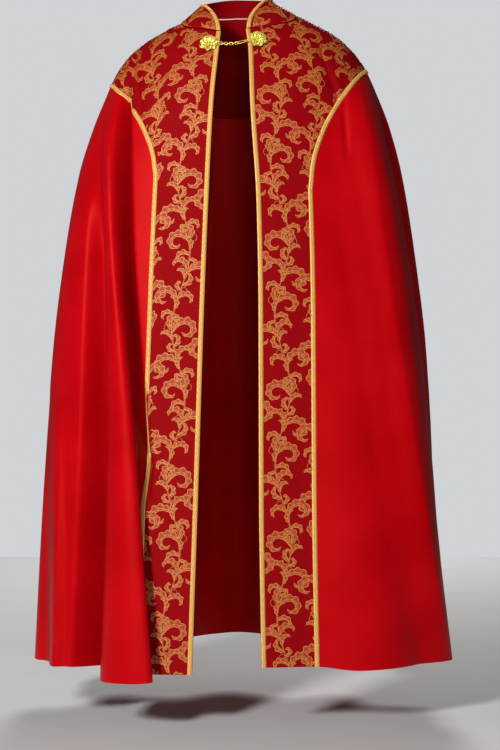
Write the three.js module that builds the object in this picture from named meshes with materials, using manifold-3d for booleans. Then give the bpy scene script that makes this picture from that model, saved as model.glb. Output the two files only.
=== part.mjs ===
/**
 * A cope, the long processional cloak, in the hollow form that it has when it is worn: a red satin body
 * cut in one, brocade fronts whose bands widen into a yoke at the shoulders, a brocade back yoke and
 * stand collar, gold braid on the edges and seams, and a clasp of two cast rosettes joined by a short
 * chain.
 *
 * Millimetres. +Z is up, the front faces -Y and +X is the wearer's left. The origin is the middle of the
 * neck opening, where the wearer's neck and shoulders carry the weight.
 *
 * The cloth is one surface. A place on it is (side, w, z): side is -1 for the wearer's right and 1 for
 * the left, z is the height, and w runs round the level ring at that height, from 0 at the front edge
 * through 1 at the side to 2 at the centre back. Each panel is a patch of that surface with a wall on it,
 * and each braid follows the same points.
 */
import * as THREE from "three";
import { mergeVertices } from "three/addons/utils/BufferGeometryUtils.js";
import Module from "manifold-3d";

const RIGHT = -1;
const LEFT = 1;

const CLOTH_WALL = 2;
const BRAID_WALL = 1.8;
const SEAM_GAP = 0.3;
const BAND_WIDTH = 114; // from the front edge to the seam between the brocade band and the body
const BRAID_WIDTH = 10;
const WELD = 1e-4; // points closer than this are one

// Level rings of the cloth without its folds. right and left are half widths, front and back are depths,
// and bow shapes the plan: above 1 it narrows towards the sides, below 1 it squares off.
const RINGS = [
  { z: 60, right: 74, left: 82, front: 40, back: 66, bow: 1.1 },
  { z: 40, right: 86, left: 108, front: 54, back: 82, bow: 1.12 },
  { z: 20, right: 104, left: 150, front: 68, back: 92, bow: 1.15 },
  { z: 0, right: 144, left: 190, front: 80, back: 101, bow: 1.18 },
  { z: -30, right: 196, left: 234, front: 96, back: 113, bow: 1.15 },
  { z: -66, right: 236, left: 266, front: 112, back: 126, bow: 1.1 },
  { z: -100, right: 260, left: 286, front: 125, back: 137, bow: 1.04 },
  { z: -160, right: 286, left: 312, front: 143, back: 153, bow: 0.97 },
  { z: -215, right: 308, left: 332, front: 154, back: 165, bow: 0.93 },
  { z: -315, right: 339, left: 358, front: 167, back: 184, bow: 0.9 },
  { z: -480, right: 369, left: 385, front: 179, back: 210, bow: 0.87 },
  { z: -700, right: 396, left: 412, front: 196, back: 243, bow: 0.88 },
  { z: -1000, right: 416, left: 430, front: 218, back: 284, bow: 0.88 },
  { z: -1400, right: 437, left: 436, front: 248, back: 322, bow: 0.89 },
];

// How far each front edge stands to its side of the centre line.
const FRONT_EDGES = [
  { z: -20, right: 31, left: 21 },
  { z: -60, right: 35, left: 26 },
  { z: -180, right: 46, left: 30 },
  { z: -390, right: 56, left: 43 },
  { z: -600, right: 64, left: 47 },
  { z: -1000, right: 76, left: 48 },
  { z: -1400, right: 89, left: 54 },
];

// Heights round the garment, by w.
const NECK_LINE = [
  { w: 0, right: -22, left: -16 },
  { w: 0.5, right: -6, left: 4 },
  { w: 1, right: 20, left: 33 },
  { w: 1.5, right: 34, left: 38 },
  { w: 2, right: 40, left: 40 },
];
const YOKE_BACK_LINE = [
  { w: 1, right: -122, left: -92 },
  { w: 1.25, right: -138, left: -118 },
  { w: 1.6, right: -164, left: -156 },
  { w: 2, right: -172, left: -172 },
];
const HEM_LINE = [
  { w: 0, right: -1358, left: -1343 },
  { w: 0.22, right: -1359, left: -1343 },
  { w: 0.4, right: -1372, left: -1352 },
  { w: 0.62, right: -1356, left: -1350 },
  { w: 1, right: -1357, left: -1349 },
  { w: 2, right: -1360, left: -1360 },
];

// The front seam is straight up to its turn, then sweeps out to the shoulder tip. across goes from the
// band's width to the side, and up from the turn to the tip.
const SEAM_TURN = { right: -335, left: -366 };
const SEAM_SWEEP = [
  { step: 0, across: 0, up: 0 },
  { step: 0.145, across: 0.035, up: 0.21 },
  { step: 0.33, across: 0.14, up: 0.46 },
  { step: 0.51, across: 0.31, up: 0.68 },
  { step: 0.72, across: 0.56, up: 0.88 },
  { step: 0.89, across: 0.82, up: 0.975 },
  { step: 1, across: 1, up: 1 },
];

// Folds, as round ridges (rise above 0) and troughs (below 0) between two heights, upper and lower. Each
// pair holds a value at the upper height and one at the lower: at is the crest's distance along the ring
// from the front edge or the centre back, half its half width. The few that roll have a lean, which
// carries the crest towards the front edge, and a swell, which pushes both flanks apart, so that the
// cloth rolls over what is beside it. bend bows a fold's line.
const EDGE_FOLDS_RIGHT = [
  // the long roll, the groove before it, and the hollow and the crease behind it
  {
    ...{ upper: -150, lower: -1400, at: [240, 160], half: [26, 54], rise: [12, 62] },
    ...{ lean: 62, swell: 46, bend: -25 },
  },
  { upper: -130, lower: -930, at: [200, 114], half: [22, 22], rise: [-24, -34], bend: 8 },
  { upper: -330, lower: -1400, at: [248, 234], half: [34, 48], rise: [-14, -84], bend: -10 },
  { upper: -760, lower: -1400, at: [400, 366], half: [36, 44], rise: [-2, -16] },
];
const EDGE_FOLDS_LEFT = [
  // the smooth swell, its pleat line and the hollow behind that
  { upper: -380, lower: -1400, at: [220, 262], half: [150, 190], rise: [0, 34] },
  { upper: -110, lower: -1400, at: [240, 424], half: [60, 90], rise: [12, 22] },
  { upper: -110, lower: -1300, at: [302, 520], half: [26, 60], rise: [-12, -12] },
];
const BACK_FOLDS_RIGHT = [
  { upper: -330, lower: -1400, at: [330, 486], half: [50, 70], rise: [0, 26], swell: 6 },
  { upper: -260, lower: -1400, at: [236, 372], half: [46, 66], rise: [0, -34] },
  { upper: -250, lower: -1400, at: [150, 250], half: [46, 72], rise: [0, 38], swell: 8 },
  { upper: -240, lower: -1400, at: [78, 122], half: [40, 66], rise: [0, -36] },
];
const BACK_FOLDS_LEFT = [
  { upper: -420, lower: -1400, at: [340, 450], half: [50, 66], rise: [0, 24], swell: 6 },
  { upper: -280, lower: -1400, at: [250, 346], half: [48, 64], rise: [0, -30] },
  { upper: -230, lower: -1400, at: [172, 236], half: [44, 68], rise: [0, 40], swell: 8 },
  { upper: -250, lower: -1400, at: [84, 118], half: [40, 64], rise: [0, -38] },
];
const CENTRE_BACK_FOLD = { upper: -230, lower: -1400, at: [0, 0], half: [50, 76], rise: [0, 34] };
const FOLDS = [
  ...EDGE_FOLDS_RIGHT.map((fold) => ({ side: RIGHT, origin: "edge", ...fold })),
  ...EDGE_FOLDS_LEFT.map((fold) => ({ side: LEFT, origin: "edge", ...fold })),
  ...[...BACK_FOLDS_RIGHT, CENTRE_BACK_FOLD].map((fold) => ({ side: RIGHT, origin: "back", ...fold })),
  ...[...BACK_FOLDS_LEFT, CENTRE_BACK_FOLD].map((fold) => ({ side: LEFT, origin: "back", ...fold })),
];
const FOLD_FADE = 0.12; // the share of a fold's length over which it dies away at an open end
const ROLL_GROWTH = 2; // the higher, the nearer the hem a fold starts to roll over
const HEM_REACH = -1380; // a fold whose lower end is past this height runs out through the hem

// The collar's top edge is an ellipse in plan from corner to corner.
const COLLAR_TOP = { halfWidth: 74, front: 62, back: 64, cornerAngle: 70 };
const COLLAR_TOP_HEIGHTS = { right: 51, left: 64, back: 78 };
const COLLAR_FLARE = 2; // above 1, the front edges rise steeply and roll outwards near the corners

// The clasp.
const ROSETTE_RADIUS = 20;
const ROSETTE_LOBES = 8;
const ROSETTE_PLACES = { right: { x: -56, z: -51 }, left: { x: 46, z: -42 } };
const BAIL_RADIUS = 3.8; // of the eye's middle line
const WIRE_RADIUS = 0.75;
const LINK_PLAY = 0.9; // between the wires where links pass through each other
const LINK_HALF_LENGTH = 4.8;
const LINK_HALF_WIDTH = 3.3;
const LINK_COUNT = 6;

const name = (side) => (side === RIGHT ? "right" : "left");
const clamp = (t) => Math.min(1, Math.max(0, t));
const smooth = (t) => clamp(t) ** 2 * (3 - 2 * clamp(t));
const mix = (a, b, t) => a + (b - a) * t;

/** A smooth value of one column at a key, through the table's rows and never past its neighbours' values. */
function read(table, keyName, key, column) {
  const rising = table[0][keyName] < table[table.length - 1][keyName];
  const rows = rising ? table : table.slice().reverse();
  const keys = rows.map((row) => row[keyName]);
  const values = rows.map((row) => row[column]);
  const last = keys.length - 1;
  if (key <= keys[0]) return values[0];
  if (key >= keys[last]) return values[last];
  const slope = (i) => (values[i + 1] - values[i]) / (keys[i + 1] - keys[i]);
  const tangent = (i) => {
    if (i === 0) return slope(0);
    if (i === last) return slope(last - 1);
    const before = slope(i - 1);
    const after = slope(i);
    return before * after <= 0 ? 0 : (2 * before * after) / (before + after);
  };
  const i = keys.findIndex((k) => k > key) - 1;
  const span = keys[i + 1] - keys[i];
  const t = (key - keys[i]) / span;
  const t2 = t * t;
  const t3 = t2 * t;
  return (
    (2 * t3 - 3 * t2 + 1) * values[i] +
    (t3 - 2 * t2 + t) * span * tangent(i) +
    (3 * t2 - 2 * t3) * values[i + 1] +
    (t3 - t2) * span * tangent(i + 1)
  );
}

const RING_STEPS = 40; // to the side, and again to the centre back
const rings = new Map();

/** The level ring at one height: its plan points and their distances from the front edge. */
function ring(side, z) {
  const key = `${side} ${z.toFixed(3)}`;
  if (rings.has(key)) return rings.get(key);
  const halfWidth = read(RINGS, "z", z, name(side));
  const front = read(RINGS, "z", z, "front");
  const back = read(RINGS, "z", z, "back");
  const bow = read(RINGS, "z", z, "bow");
  const start = Math.asin(read(FRONT_EDGES, "z", z, name(side)) / halfWidth);
  const points = [];
  for (let i = 0; i <= 2 * RING_STEPS; i += 1) {
    const angle = i <= RING_STEPS
      ? mix(start, Math.PI / 2, i / RING_STEPS)
      : mix(Math.PI / 2, Math.PI, i / RING_STEPS - 1);
    const cosine = Math.cos(angle);
    const depth = Math.abs(cosine) < 1e-9 ? 0 : Math.abs(cosine) ** bow;
    points.push([side * halfWidth * Math.sin(angle), cosine > 0 ? -front * depth : back * depth]);
  }
  const distances = [0];
  for (let i = 1; i < points.length; i += 1) {
    const [dx, dy] = [points[i][0] - points[i - 1][0], points[i][1] - points[i - 1][1]];
    distances.push(distances[i - 1] + Math.hypot(dx, dy));
  }
  const made = { points, distances, sideAt: distances[RING_STEPS], length: distances[2 * RING_STEPS] };
  rings.set(key, made);
  return made;
}

/**
 * The plan point at a distance along a ring, and the ring's direction there. Past an end the ring runs
 * straight on.
 */
function onRing({ points, distances }, distance) {
  let i = distances.findIndex((d) => d > distance) - 1;
  if (i === -2) i = distances.length - 2;
  if (i < 0) i = 0;
  const span = distances[i + 1] - distances[i];
  const t = (distance - distances[i]) / span;
  const along = [(points[i + 1][0] - points[i][0]) / span, (points[i + 1][1] - points[i][1]) / span];
  return { x: mix(points[i][0], points[i + 1][0], t), y: mix(points[i][1], points[i + 1][1], t), along };
}

/** How far the folds carry the cloth outwards, and along the ring away from the front edge. */
function foldShift(side, distance, z, length) {
  let outwards = 0;
  let along = 0;
  for (const fold of FOLDS) {
    const t = (fold.upper - z) / (fold.upper - fold.lower);
    if (fold.side !== side || t <= 0) continue;
    const dying = fold.lower < HEM_REACH ? 1 : smooth((1 + FOLD_FADE - t) / FOLD_FADE);
    const strength = smooth(t / FOLD_FADE) * dying;
    const place = mix(...fold.at, clamp(t)) + (fold.bend ?? 0) * Math.sin(Math.PI * clamp(t));
    const centre = fold.origin === "edge" ? place : length - place;
    const x = (distance - centre) / mix(...fold.half, clamp(t));
    if (Math.abs(x) >= 1) continue;
    const { lean = 0, swell = 0 } = fold;
    const bump = (1 + Math.cos(Math.PI * x)) / 2;
    outwards += strength * mix(...fold.rise, clamp(t)) * bump;
    along += strength * clamp(t) ** ROLL_GROWTH * bump * (swell * Math.sin(Math.PI * x) - lean);
  }
  return { outwards, along };
}

/** The millimetres along the ring from the front edge to w. */
function distanceAt(side, w, z) {
  const { sideAt, length } = ring(side, z);
  return w <= 1 ? w * sideAt : mix(sideAt, length, w - 1);
}

/** The point of the cloth's middle surface at (side, w, z). */
function clothPoint(side, w, z) {
  const level = ring(side, z);
  const distance = distanceAt(side, w, z);
  const shift = foldShift(side, distance, z, level.length);
  const { x, y, along } = onRing(level, distance + shift.along);
  return new THREE.Vector3(x + side * along[1] * shift.outwards, y - side * along[0] * shift.outwards, z);
}

/** The same point with the surface's outward normal. */
function cloth(side, w, z) {
  const step = 0.004;
  const rise = 1.5;
  const round = clothPoint(side, w + step, z).sub(clothPoint(side, w - step, z));
  const up = clothPoint(side, w, z + rise).sub(clothPoint(side, w, z - rise));
  if (w > 2 - step) round.set(-side, 0, 0);
  return { point: clothPoint(side, w, z), normal: round.cross(up).multiplyScalar(side).normalize() };
}

/**
 * A geometry from positions and triangles, with equal points joined and the triangles that this
 * flattens left out.
 */
function welded(positions, triangles) {
  const loose = new THREE.BufferGeometry();
  loose.setAttribute("position", new THREE.Float32BufferAttribute(positions, 3));
  loose.setIndex(triangles);
  const geometry = mergeVertices(loose, WELD);
  const corners = Array.from(geometry.index.array);
  const kept = [];
  for (let i = 0; i < corners.length; i += 3) {
    const [a, b, c] = corners.slice(i, i + 3);
    if (a !== b && b !== c && c !== a) kept.push(a, b, c);
  }
  geometry.setIndex(kept);
  return geometry;
}

/**
 * A closed wall on a grid of points with normals: rows of equal length, from low to high along the
 * normals.
 */
function wall(grid, low, high) {
  const [rows, columns] = [grid.length, grid[0].length];
  const raised = ({ point, normal }, height) => point.clone().addScaledVector(normal, height).toArray();
  const layer = (height) => grid.flat().flatMap((place) => raised(place, height));
  const positions = [...layer(low), ...layer(high)];
  const lift = rows * columns;
  const at = (r, c) => r * columns + c;
  const first = grid[0][0];
  const facing = grid[0][1].point.clone().sub(first.point).cross(grid[1][0].point.clone().sub(first.point));
  const turned = facing.dot(first.normal) < 0;
  const index = [];
  const middle = grid.flat().map(({ point }) => point);
  // Each cell is split across its shorter diagonal, so that walls on the same points have the same facets.
  const quad = (a, b, c, d) => {
    const [p, q, r, s] = [a, b, c, d].map((v) => middle[v % lift]);
    const faces = p.distanceTo(r) <= q.distanceTo(s) ? [[a, b, c], [a, c, d]] : [[a, b, d], [b, c, d]];
    for (const [i, j, k] of faces) index.push(...(turned ? [i, k, j] : [i, j, k]));
  };
  for (let r = 0; r + 1 < rows; r += 1) {
    for (let c = 0; c + 1 < columns; c += 1) {
      const cell = [at(r, c), at(r, c + 1), at(r + 1, c + 1), at(r + 1, c)];
      quad(...cell.map((v) => v + lift));
      quad(cell[0], cell[3], cell[2], cell[1]);
    }
  }
  const rim = [];
  for (let c = 0; c + 1 < columns; c += 1) rim.push(at(0, c));
  for (let r = 0; r + 1 < rows; r += 1) rim.push(at(r, columns - 1));
  for (let c = columns - 1; c > 0; c -= 1) rim.push(at(rows - 1, c));
  for (let r = rows - 1; r > 0; r -= 1) rim.push(at(r, 0));
  rim.forEach((a, i) => {
    const b = rim[(i + 1) % rim.length];
    quad(a, b, b + lift, a + lift);
  });
  return welded(positions, index);
}

// Where the seam's rows stand: level rows up the straight part, then rows round the sweep.
const STRAIGHT_ROWS = 11;
const SWEEP_ROWS = 9;
const SEAM_ROWS = STRAIGHT_ROWS + SWEEP_ROWS;
const EDGE_ROWS_OF_SWEEP = 5; // the rows of the sweep that meet the front edge; the rest meet the neck line

const tipHeight = (side) => YOKE_BACK_LINE[0][name(side)];
const bandAt = (side, z) => BAND_WIDTH / ring(side, z).sideAt;

/**
 * The seam between front panel and body at a row: w, z and the share of the way from hem to shoulder
 * tip.
 */
function seamAt(side, row) {
  const turn = SEAM_TURN[name(side)];
  const tip = tipHeight(side);
  const hem = read(HEM_LINE, "w", bandAt(side, HEM_LINE[0][name(side)]), name(side));
  let z;
  let w;
  if (row <= STRAIGHT_ROWS) {
    z = mix(hem, turn, row / STRAIGHT_ROWS);
    w = bandAt(side, z);
  } else {
    const step = (row - STRAIGHT_ROWS) / SWEEP_ROWS;
    z = mix(turn, tip, read(SEAM_SWEEP, "step", step, "up"));
    w = mix(bandAt(side, z), 1, read(SEAM_SWEEP, "step", step, "across"));
  }
  return { w, z, share: (z - hem) / (tip - hem) };
}

/**
 * A place beside the seam at a row: offset millimetres into the body, or into the front panel if it is
 * below 0.
 */
function besideSeam(side, row, offset) {
  const place = seamAt(side, row);
  const before = seamAt(side, Math.max(0, row - 0.1));
  const after = seamAt(side, Math.min(SEAM_ROWS, row + 0.1));
  const across = distanceAt(side, after.w, after.z) - distanceAt(side, before.w, before.z);
  const up = after.z - before.z;
  const length = Math.hypot(across, up);
  const z = row === 0 ? place.z : place.z - (offset * across) / length;
  return { w: place.w + (offset * up) / length / ring(side, z).sideAt, z, share: place.share };
}

// A row just short of the shoulder tip, which the body and the back yoke's braid have along the braid's
// lower edge.
const ROW_UNDER_BRAID = SEAM_ROWS - 0.15;
const ROWS = [...Array(SEAM_ROWS).keys(), ROW_UNDER_BRAID, SEAM_ROWS];

/** Moves a place some millimetres along its ring, away from the front edge. */
function moved(side, place, offset) {
  const { sideAt, length } = ring(side, place.z);
  return { ...place, w: place.w + offset / (place.w < 1 ? sideAt : length - sideAt) };
}

/**
 * The place where a seam row's line ends across the front panel: on the front edge, then along the
 * neck line.
 */
function edgeAt(side, row, inset) {
  const neck = NECK_LINE[0][name(side)];
  const turn = SEAM_TURN[name(side)];
  const level = (z) => ({ w: inset / ring(side, z).sideAt, z });
  if (row <= STRAIGHT_ROWS) {
    const w = inset / ring(side, HEM_LINE[0][name(side)]).sideAt;
    return level(mix(read(HEM_LINE, "w", w, name(side)), turn, row / STRAIGHT_ROWS));
  }
  const step = row - STRAIGHT_ROWS;
  if (step < EDGE_ROWS_OF_SWEEP) return level(mix(turn, neck, step / EDGE_ROWS_OF_SWEEP));
  if (step === EDGE_ROWS_OF_SWEEP) return level(inset ? neck - SEAM_GAP : neck);
  const w = (step - EDGE_ROWS_OF_SWEEP) / (SWEEP_ROWS - EDGE_ROWS_OF_SWEEP);
  return { w, z: read(NECK_LINE, "w", w, name(side)) - inset };
}

const PANEL_COLUMNS = 4; // across the front panel between the braids

/** The front panel: brocade band and yoke wing in one. */
function frontGrid(side) {
  return ROWS.map((row) => {
    const seam = besideSeam(side, row, -BRAID_WIDTH / 2);
    const inner = edgeAt(side, row, BRAID_WIDTH);
    const between = (t) => ({ w: mix(seam.w, inner.w, t), z: mix(seam.z, inner.z, t) });
    const places = [besideSeam(side, row, -SEAM_GAP / 2)];
    for (let i = 0; i <= PANEL_COLUMNS; i += 1) places.push(between(i / PANEL_COLUMNS));
    places.push(edgeAt(side, row, 0));
    const shoulder = row === SEAM_ROWS ? -SEAM_GAP / 2 : 0;
    return places.map((place) => moved(side, place, shoulder)).map(({ w, z }) => cloth(side, w, z));
  });
}

const BODY_COLUMNS = 26; // on each side, from the seam braid to the centre back
const COLUMN_CROWDING = 1.25; // above 1, the columns crowd towards the front, where the rolls are
const columnShare = (column) => (column / BODY_COLUMNS) ** COLUMN_CROWDING;

/** The place on the back yoke line above a column of the body. */
function yokeLineAt(side, column) {
  const share = columnShare(column);
  const first = moved(side, { w: 1, z: tipHeight(side) }, BRAID_WIDTH / 2);
  const w = mix(first.w, 2, share);
  return { w, z: read(YOKE_BACK_LINE, "w", w, name(side)) };
}

/** A place of the body, which reaches from seam to seam round the back. */
function bodyAt(side, row, column) {
  const top = yokeLineAt(side, column);
  if (row === SEAM_ROWS) return { w: top.w, z: top.z - SEAM_GAP / 2 };
  const atTip = { w: 1, z: tipHeight(side) - BRAID_WIDTH / 2, share: 1 };
  const start = row === ROW_UNDER_BRAID ? atTip : besideSeam(side, row, BRAID_WIDTH / 2);
  const share = columnShare(column);
  const w = mix(start.w, 2, share);
  const drop = (place) => mix(read(HEM_LINE, "w", place, name(side)), top.z, start.share);
  const lifted = drop(w) + (start.z - drop(start.w)) * (1 - share) ** 2;
  const z = row === 0 ? read(HEM_LINE, "w", w, name(side)) : lifted;
  return { w, z: Math.min(z, top.z - BRAID_WIDTH / 2) };
}

const placed = (side, places) => places.map(({ w, z }) => cloth(side, w, z));
const columns = Array.from({ length: BODY_COLUMNS + 1 }, (_, i) => i);

/** Rows that run from the right over the centre back to the left, from what each side gives for it. */
function roundTheBack(rowOf) {
  return [...rowOf(RIGHT), ...rowOf(LEFT).reverse().slice(1)];
}

function bodyGrid() {
  return ROWS.map((row) => roundTheBack((side) => {
    const first = row === SEAM_ROWS
      ? { w: 1, z: tipHeight(side) - SEAM_GAP / 2 }
      : besideSeam(side, row, SEAM_GAP / 2);
    return placed(side, [first, ...columns.map((column) => bodyAt(side, row, column))]);
  }));
}

const YOKE_ROWS = [0, 0.5, 1]; // from the braid up to the neck line

/** The back yoke, between the shoulder seams. */
function backYokeGrid() {
  const above = (side, rise) => (place) => ({ w: place.w, z: place.z + rise });
  const line = (side) => {
    const tip = moved(side, { w: 1, z: tipHeight(side) }, SEAM_GAP / 2);
    return [tip, ...columns.map((column) => yokeLineAt(side, column))];
  };
  const lowest = roundTheBack((side) => placed(side, line(side).map(above(side, SEAM_GAP / 2))));
  const upper = YOKE_ROWS.map((share) => roundTheBack((side) => placed(side, line(side).map((place) => {
    const neck = read(NECK_LINE, "w", place.w, name(side));
    return { w: place.w, z: mix(place.z + BRAID_WIDTH / 2, neck, share) };
  }))));
  return [lowest, ...upper];
}

function backYokeBraidGrid() {
  const start = (side) => moved(side, { w: 1, z: tipHeight(side) }, SEAM_GAP / 2);
  const lifted = (rise) => (place) => ({ w: place.w, z: place.z + rise });
  const line = (side) => [start(side), ...columns.slice(1).map((column) => yokeLineAt(side, column))];
  const under = (side) => columns.slice(1).map((column) => bodyAt(side, ROW_UNDER_BRAID, column));
  const low = (side) => [lifted(-BRAID_WIDTH / 2)(start(side)), ...under(side)];
  return [
    roundTheBack((side) => placed(side, low(side))),
    roundTheBack((side) => placed(side, line(side))),
    roundTheBack((side) => placed(side, line(side).map(lifted(BRAID_WIDTH / 2)))),
  ];
}

function seamBraidGrid(side) {
  const offsets = [-BRAID_WIDTH / 2, 0, BRAID_WIDTH / 2];
  return ROWS.map((row) => placed(side, offsets.map((offset) => (
    row === SEAM_ROWS
      ? { w: 1, z: tipHeight(side) - offset }
      : besideSeam(side, row, offset)
  ))));
}

function edgeBraidGrid(side) {
  const rows = ROWS.filter((row) => row <= STRAIGHT_ROWS + EDGE_ROWS_OF_SWEEP);
  return rows.map((row) => placed(side, [edgeAt(side, row, 0), edgeAt(side, row, BRAID_WIDTH)]));
}

// The collar: rows from the neck seam to the top edge, the last two a braid's width apart.
const COLLAR_COLUMNS = 9;
const COLLAR_RISES = [0, 0.35, 0.62];
const COLLAR_CLEARANCE = 2.3; // between the middle surfaces of collar and yoke, whose walls meet at an angle
const SIDE_RADIANS = Math.PI / 2;

/**
 * A point of the collar's middle surface: round from 0 at the front edge to 1 at the centre back, up
 * from 0 to 1.
 */
function collarPoint(side, round, up) {
  const w = 2 * round;
  const base = clothPoint(side, w, read(NECK_LINE, "w", w, name(side)));
  base.z += COLLAR_CLEARANCE;
  const turn = round ** 1.2;
  const angle = mix(THREE.MathUtils.degToRad(COLLAR_TOP.cornerAngle), Math.PI, turn);
  const depth = angle < SIDE_RADIANS ? COLLAR_TOP.front : COLLAR_TOP.back;
  const corner = COLLAR_TOP_HEIGHTS[name(side)];
  const top = new THREE.Vector3(
    side * COLLAR_TOP.halfWidth * Math.sin(angle),
    -depth * Math.cos(angle),
    mix(corner, COLLAR_TOP_HEIGHTS.back, smooth(turn)),
  );
  const flare = mix(COLLAR_FLARE, 1, smooth(round / 0.4));
  const [across, out] = [up ** flare, up ** (1 + flare / 4)];
  return new THREE.Vector3(mix(base.x, top.x, across), mix(base.y, top.y, out), mix(base.z, top.z, up));
}

/** The same point with the collar's outward normal. */
function collar(side, round, up) {
  const step = 0.004;
  const [before, after] = [Math.max(0, round - step), Math.min(1, round + step)];
  const [lower, higher] = [Math.max(0, up - step), Math.min(1, up + step)];
  const along = collarPoint(side, after, up).sub(collarPoint(side, before, up));
  const rise = collarPoint(side, round, higher).sub(collarPoint(side, round, lower));
  if (round > 1 - step) along.set(-side, 0, 0);
  return { point: collarPoint(side, round, up), normal: along.cross(rise).multiplyScalar(side).normalize() };
}

/** The share of the collar's way round that is a braid's width from its front edge. */
function collarRail(side, up) {
  const reach = 0.05;
  const rate = collarPoint(side, reach, up).distanceTo(collarPoint(side, 0, up)) / reach;
  return BRAID_WIDTH / rate;
}

/** The share of the collar's height that is a braid's width below its top edge. */
function collarTopRail(side, round) {
  const reach = 0.2;
  const rate = collarPoint(side, round, 1).distanceTo(collarPoint(side, round, 1 - reach)) / reach;
  return 1 - BRAID_WIDTH / rate;
}

/**
 * One height of the collar from right to left: rise is a share of the height, or nothing for the top
 * rail.
 */
function collarRow(rise) {
  return roundTheBack((side) => {
    const height = (round) => rise ?? collarTopRail(side, round);
    const rail = collarRail(side, height(0));
    const rounds = Array.from({ length: COLLAR_COLUMNS + 1 }, (_, i) => mix(rail, 1, i / COLLAR_COLUMNS));
    return [0, ...rounds].map((round) => collar(side, round, height(round)));
  });
}

const collarGrid = () => [...COLLAR_RISES.map(collarRow), collarRow(), collarRow(1)];

/**
 * The collar's braid as pairs of outer and inner points: up the right front edge, round the top and
 * down the left.
 */
function collarBraidGrid() {
  const rows = collarGrid();
  const topRail = rows[rows.length - 2];
  const top = rows[rows.length - 1];
  const last = top.length - 1;
  const upRight = rows.slice(0, -1).map((row) => [row[0], row[1]]);
  const downLeft = rows.slice(0, -1).reverse().map((row) => [row[last], row[last - 1]]);
  const round = top.slice(1, last).map((place, i) => [place, topRail[i + 1]]);
  return [...upRight, [top[0], topRail[1]], ...round, [top[last], topRail[last - 1]], ...downLeft];
}

// The clasp.
const wasm = await Module();
wasm.setup();

function solidOf(geometry) {
  const vertProperties = new Float32Array(geometry.attributes.position.array);
  const triVerts = new Uint32Array(geometry.index.array);
  return new wasm.Manifold(new wasm.Mesh({ numProp: 3, vertProperties, triVerts }));
}

/** Several closed geometries joined into one. */
function joined(...geometries) {
  const mesh = geometries.map(solidOf).reduce((whole, next) => whole.add(next)).getMesh();
  return welded(mesh.vertProperties, Array.from(mesh.triVerts));
}

const ROSETTE_STEPS = 24;
// From the middle out: radius as a share, height above the back, and how far the lobes shape it.
const ROSETTE_PROFILE = [
  { radius: 0.2, height: 7.4, lobed: 0 },
  { radius: 0.34, height: 5.2, lobed: 0.04 },
  { radius: 0.62, height: 6, lobed: 0.06 },
  { radius: 0.88, height: 4, lobed: 0.09 },
  { radius: 1, height: 2, lobed: 0.1 },
];
const ROSETTE_CROWN = 7.8;

/** A cast rosette, its flat back on z = 0. */
function rosetteShape() {
  const rim = ({ radius, lobed }, step) => {
    const angle = (step / ROSETTE_STEPS) * 2 * Math.PI;
    const lobe = Math.abs(Math.cos((angle * ROSETTE_LOBES) / 2)) - 1;
    const reach = ROSETTE_RADIUS * radius * (1 + lobed * lobe);
    return [reach * Math.cos(angle), reach * Math.sin(angle)];
  };
  const outer = ROSETTE_PROFILE[ROSETTE_PROFILE.length - 1];
  const circles = [...ROSETTE_PROFILE, { ...outer, height: 0 }];
  const positions = [0, 0, ROSETTE_CROWN, 0, 0, 0];
  for (const circle of circles) {
    for (let step = 0; step < ROSETTE_STEPS; step += 1) positions.push(...rim(circle, step), circle.height);
  }
  const at = (circle, step) => 2 + circle * ROSETTE_STEPS + (step % ROSETTE_STEPS);
  const index = [];
  for (let step = 0; step < ROSETTE_STEPS; step += 1) {
    index.push(0, at(0, step), at(0, step + 1));
    index.push(1, at(circles.length - 1, step + 1), at(circles.length - 1, step));
    for (let circle = 0; circle + 1 < circles.length; circle += 1) {
      index.push(at(circle, step), at(circle + 1, step), at(circle + 1, step + 1));
      index.push(at(circle, step), at(circle + 1, step + 1), at(circle, step + 1));
    }
  }
  return welded(positions, index);
}

const EYE_ROUNDNESS = 0.75; // 1 makes an eye an ellipse, and less makes its ends fuller

/** The middle line of a wire eye in the plane of X and Y. */
class Eye extends THREE.Curve {
  constructor(halfLength, halfWidth) {
    super();
    this.halfLength = halfLength;
    this.halfWidth = halfWidth;
  }

  getPoint(t, target = new THREE.Vector3()) {
    const angle = 2 * Math.PI * t;
    const full = (value) => Math.sign(value) * Math.abs(value) ** EYE_ROUNDNESS;
    return target.set(this.halfLength * full(Math.cos(angle)), this.halfWidth * full(Math.sin(angle)), 0);
  }
}

const WIRE_STEPS = 16;
const WIRE_SIDES = 5;

/** A closed link of wire whose outside is this long and wide. */
function link(halfLength, halfWidth, wire = WIRE_RADIUS) {
  const path = new Eye(halfLength - wire, halfWidth - wire);
  const tube = new THREE.TubeGeometry(path, WIRE_STEPS, wire, WIRE_SIDES, true);
  return welded(tube.attributes.position.array, Array.from(tube.index.array));
}

const CHAIN_DIP = 27; // each bail points this far below the other rosette's middle, as the chain leaves it
const BAIL_WIRE = 0.9;
const BAIL_REACH = ROSETTE_RADIUS + 1.6; // from the rosette's middle to the bail's
const BAIL_HEIGHT = 4.4; // of the bail's middle over the rosette's back

/**
 * Where a rosette lies: its middle on the braid's level, the way to the chain and the way out of the
 * cloth.
 */
function rosettePlace(side) {
  const { x, z } = ROSETTE_PLACES[name(side)];
  const { sideAt } = ring(side, z);
  let w = 0;
  while (clothPoint(side, w, z).x * side < x * side) w += 1 / sideAt;
  const { point, normal } = cloth(side, w, z);
  const other = ROSETTE_PLACES[name(-side)];
  const towards = new THREE.Vector3(other.x - x, 0, other.z - z - CHAIN_DIP);
  towards.addScaledVector(normal, -normal.dot(towards)).normalize();
  const seat = CLOTH_WALL / 2 + SEAM_GAP + BRAID_WALL + SEAM_GAP;
  return { seat: point.clone().addScaledVector(normal, seat), towards, normal };
}

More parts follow.
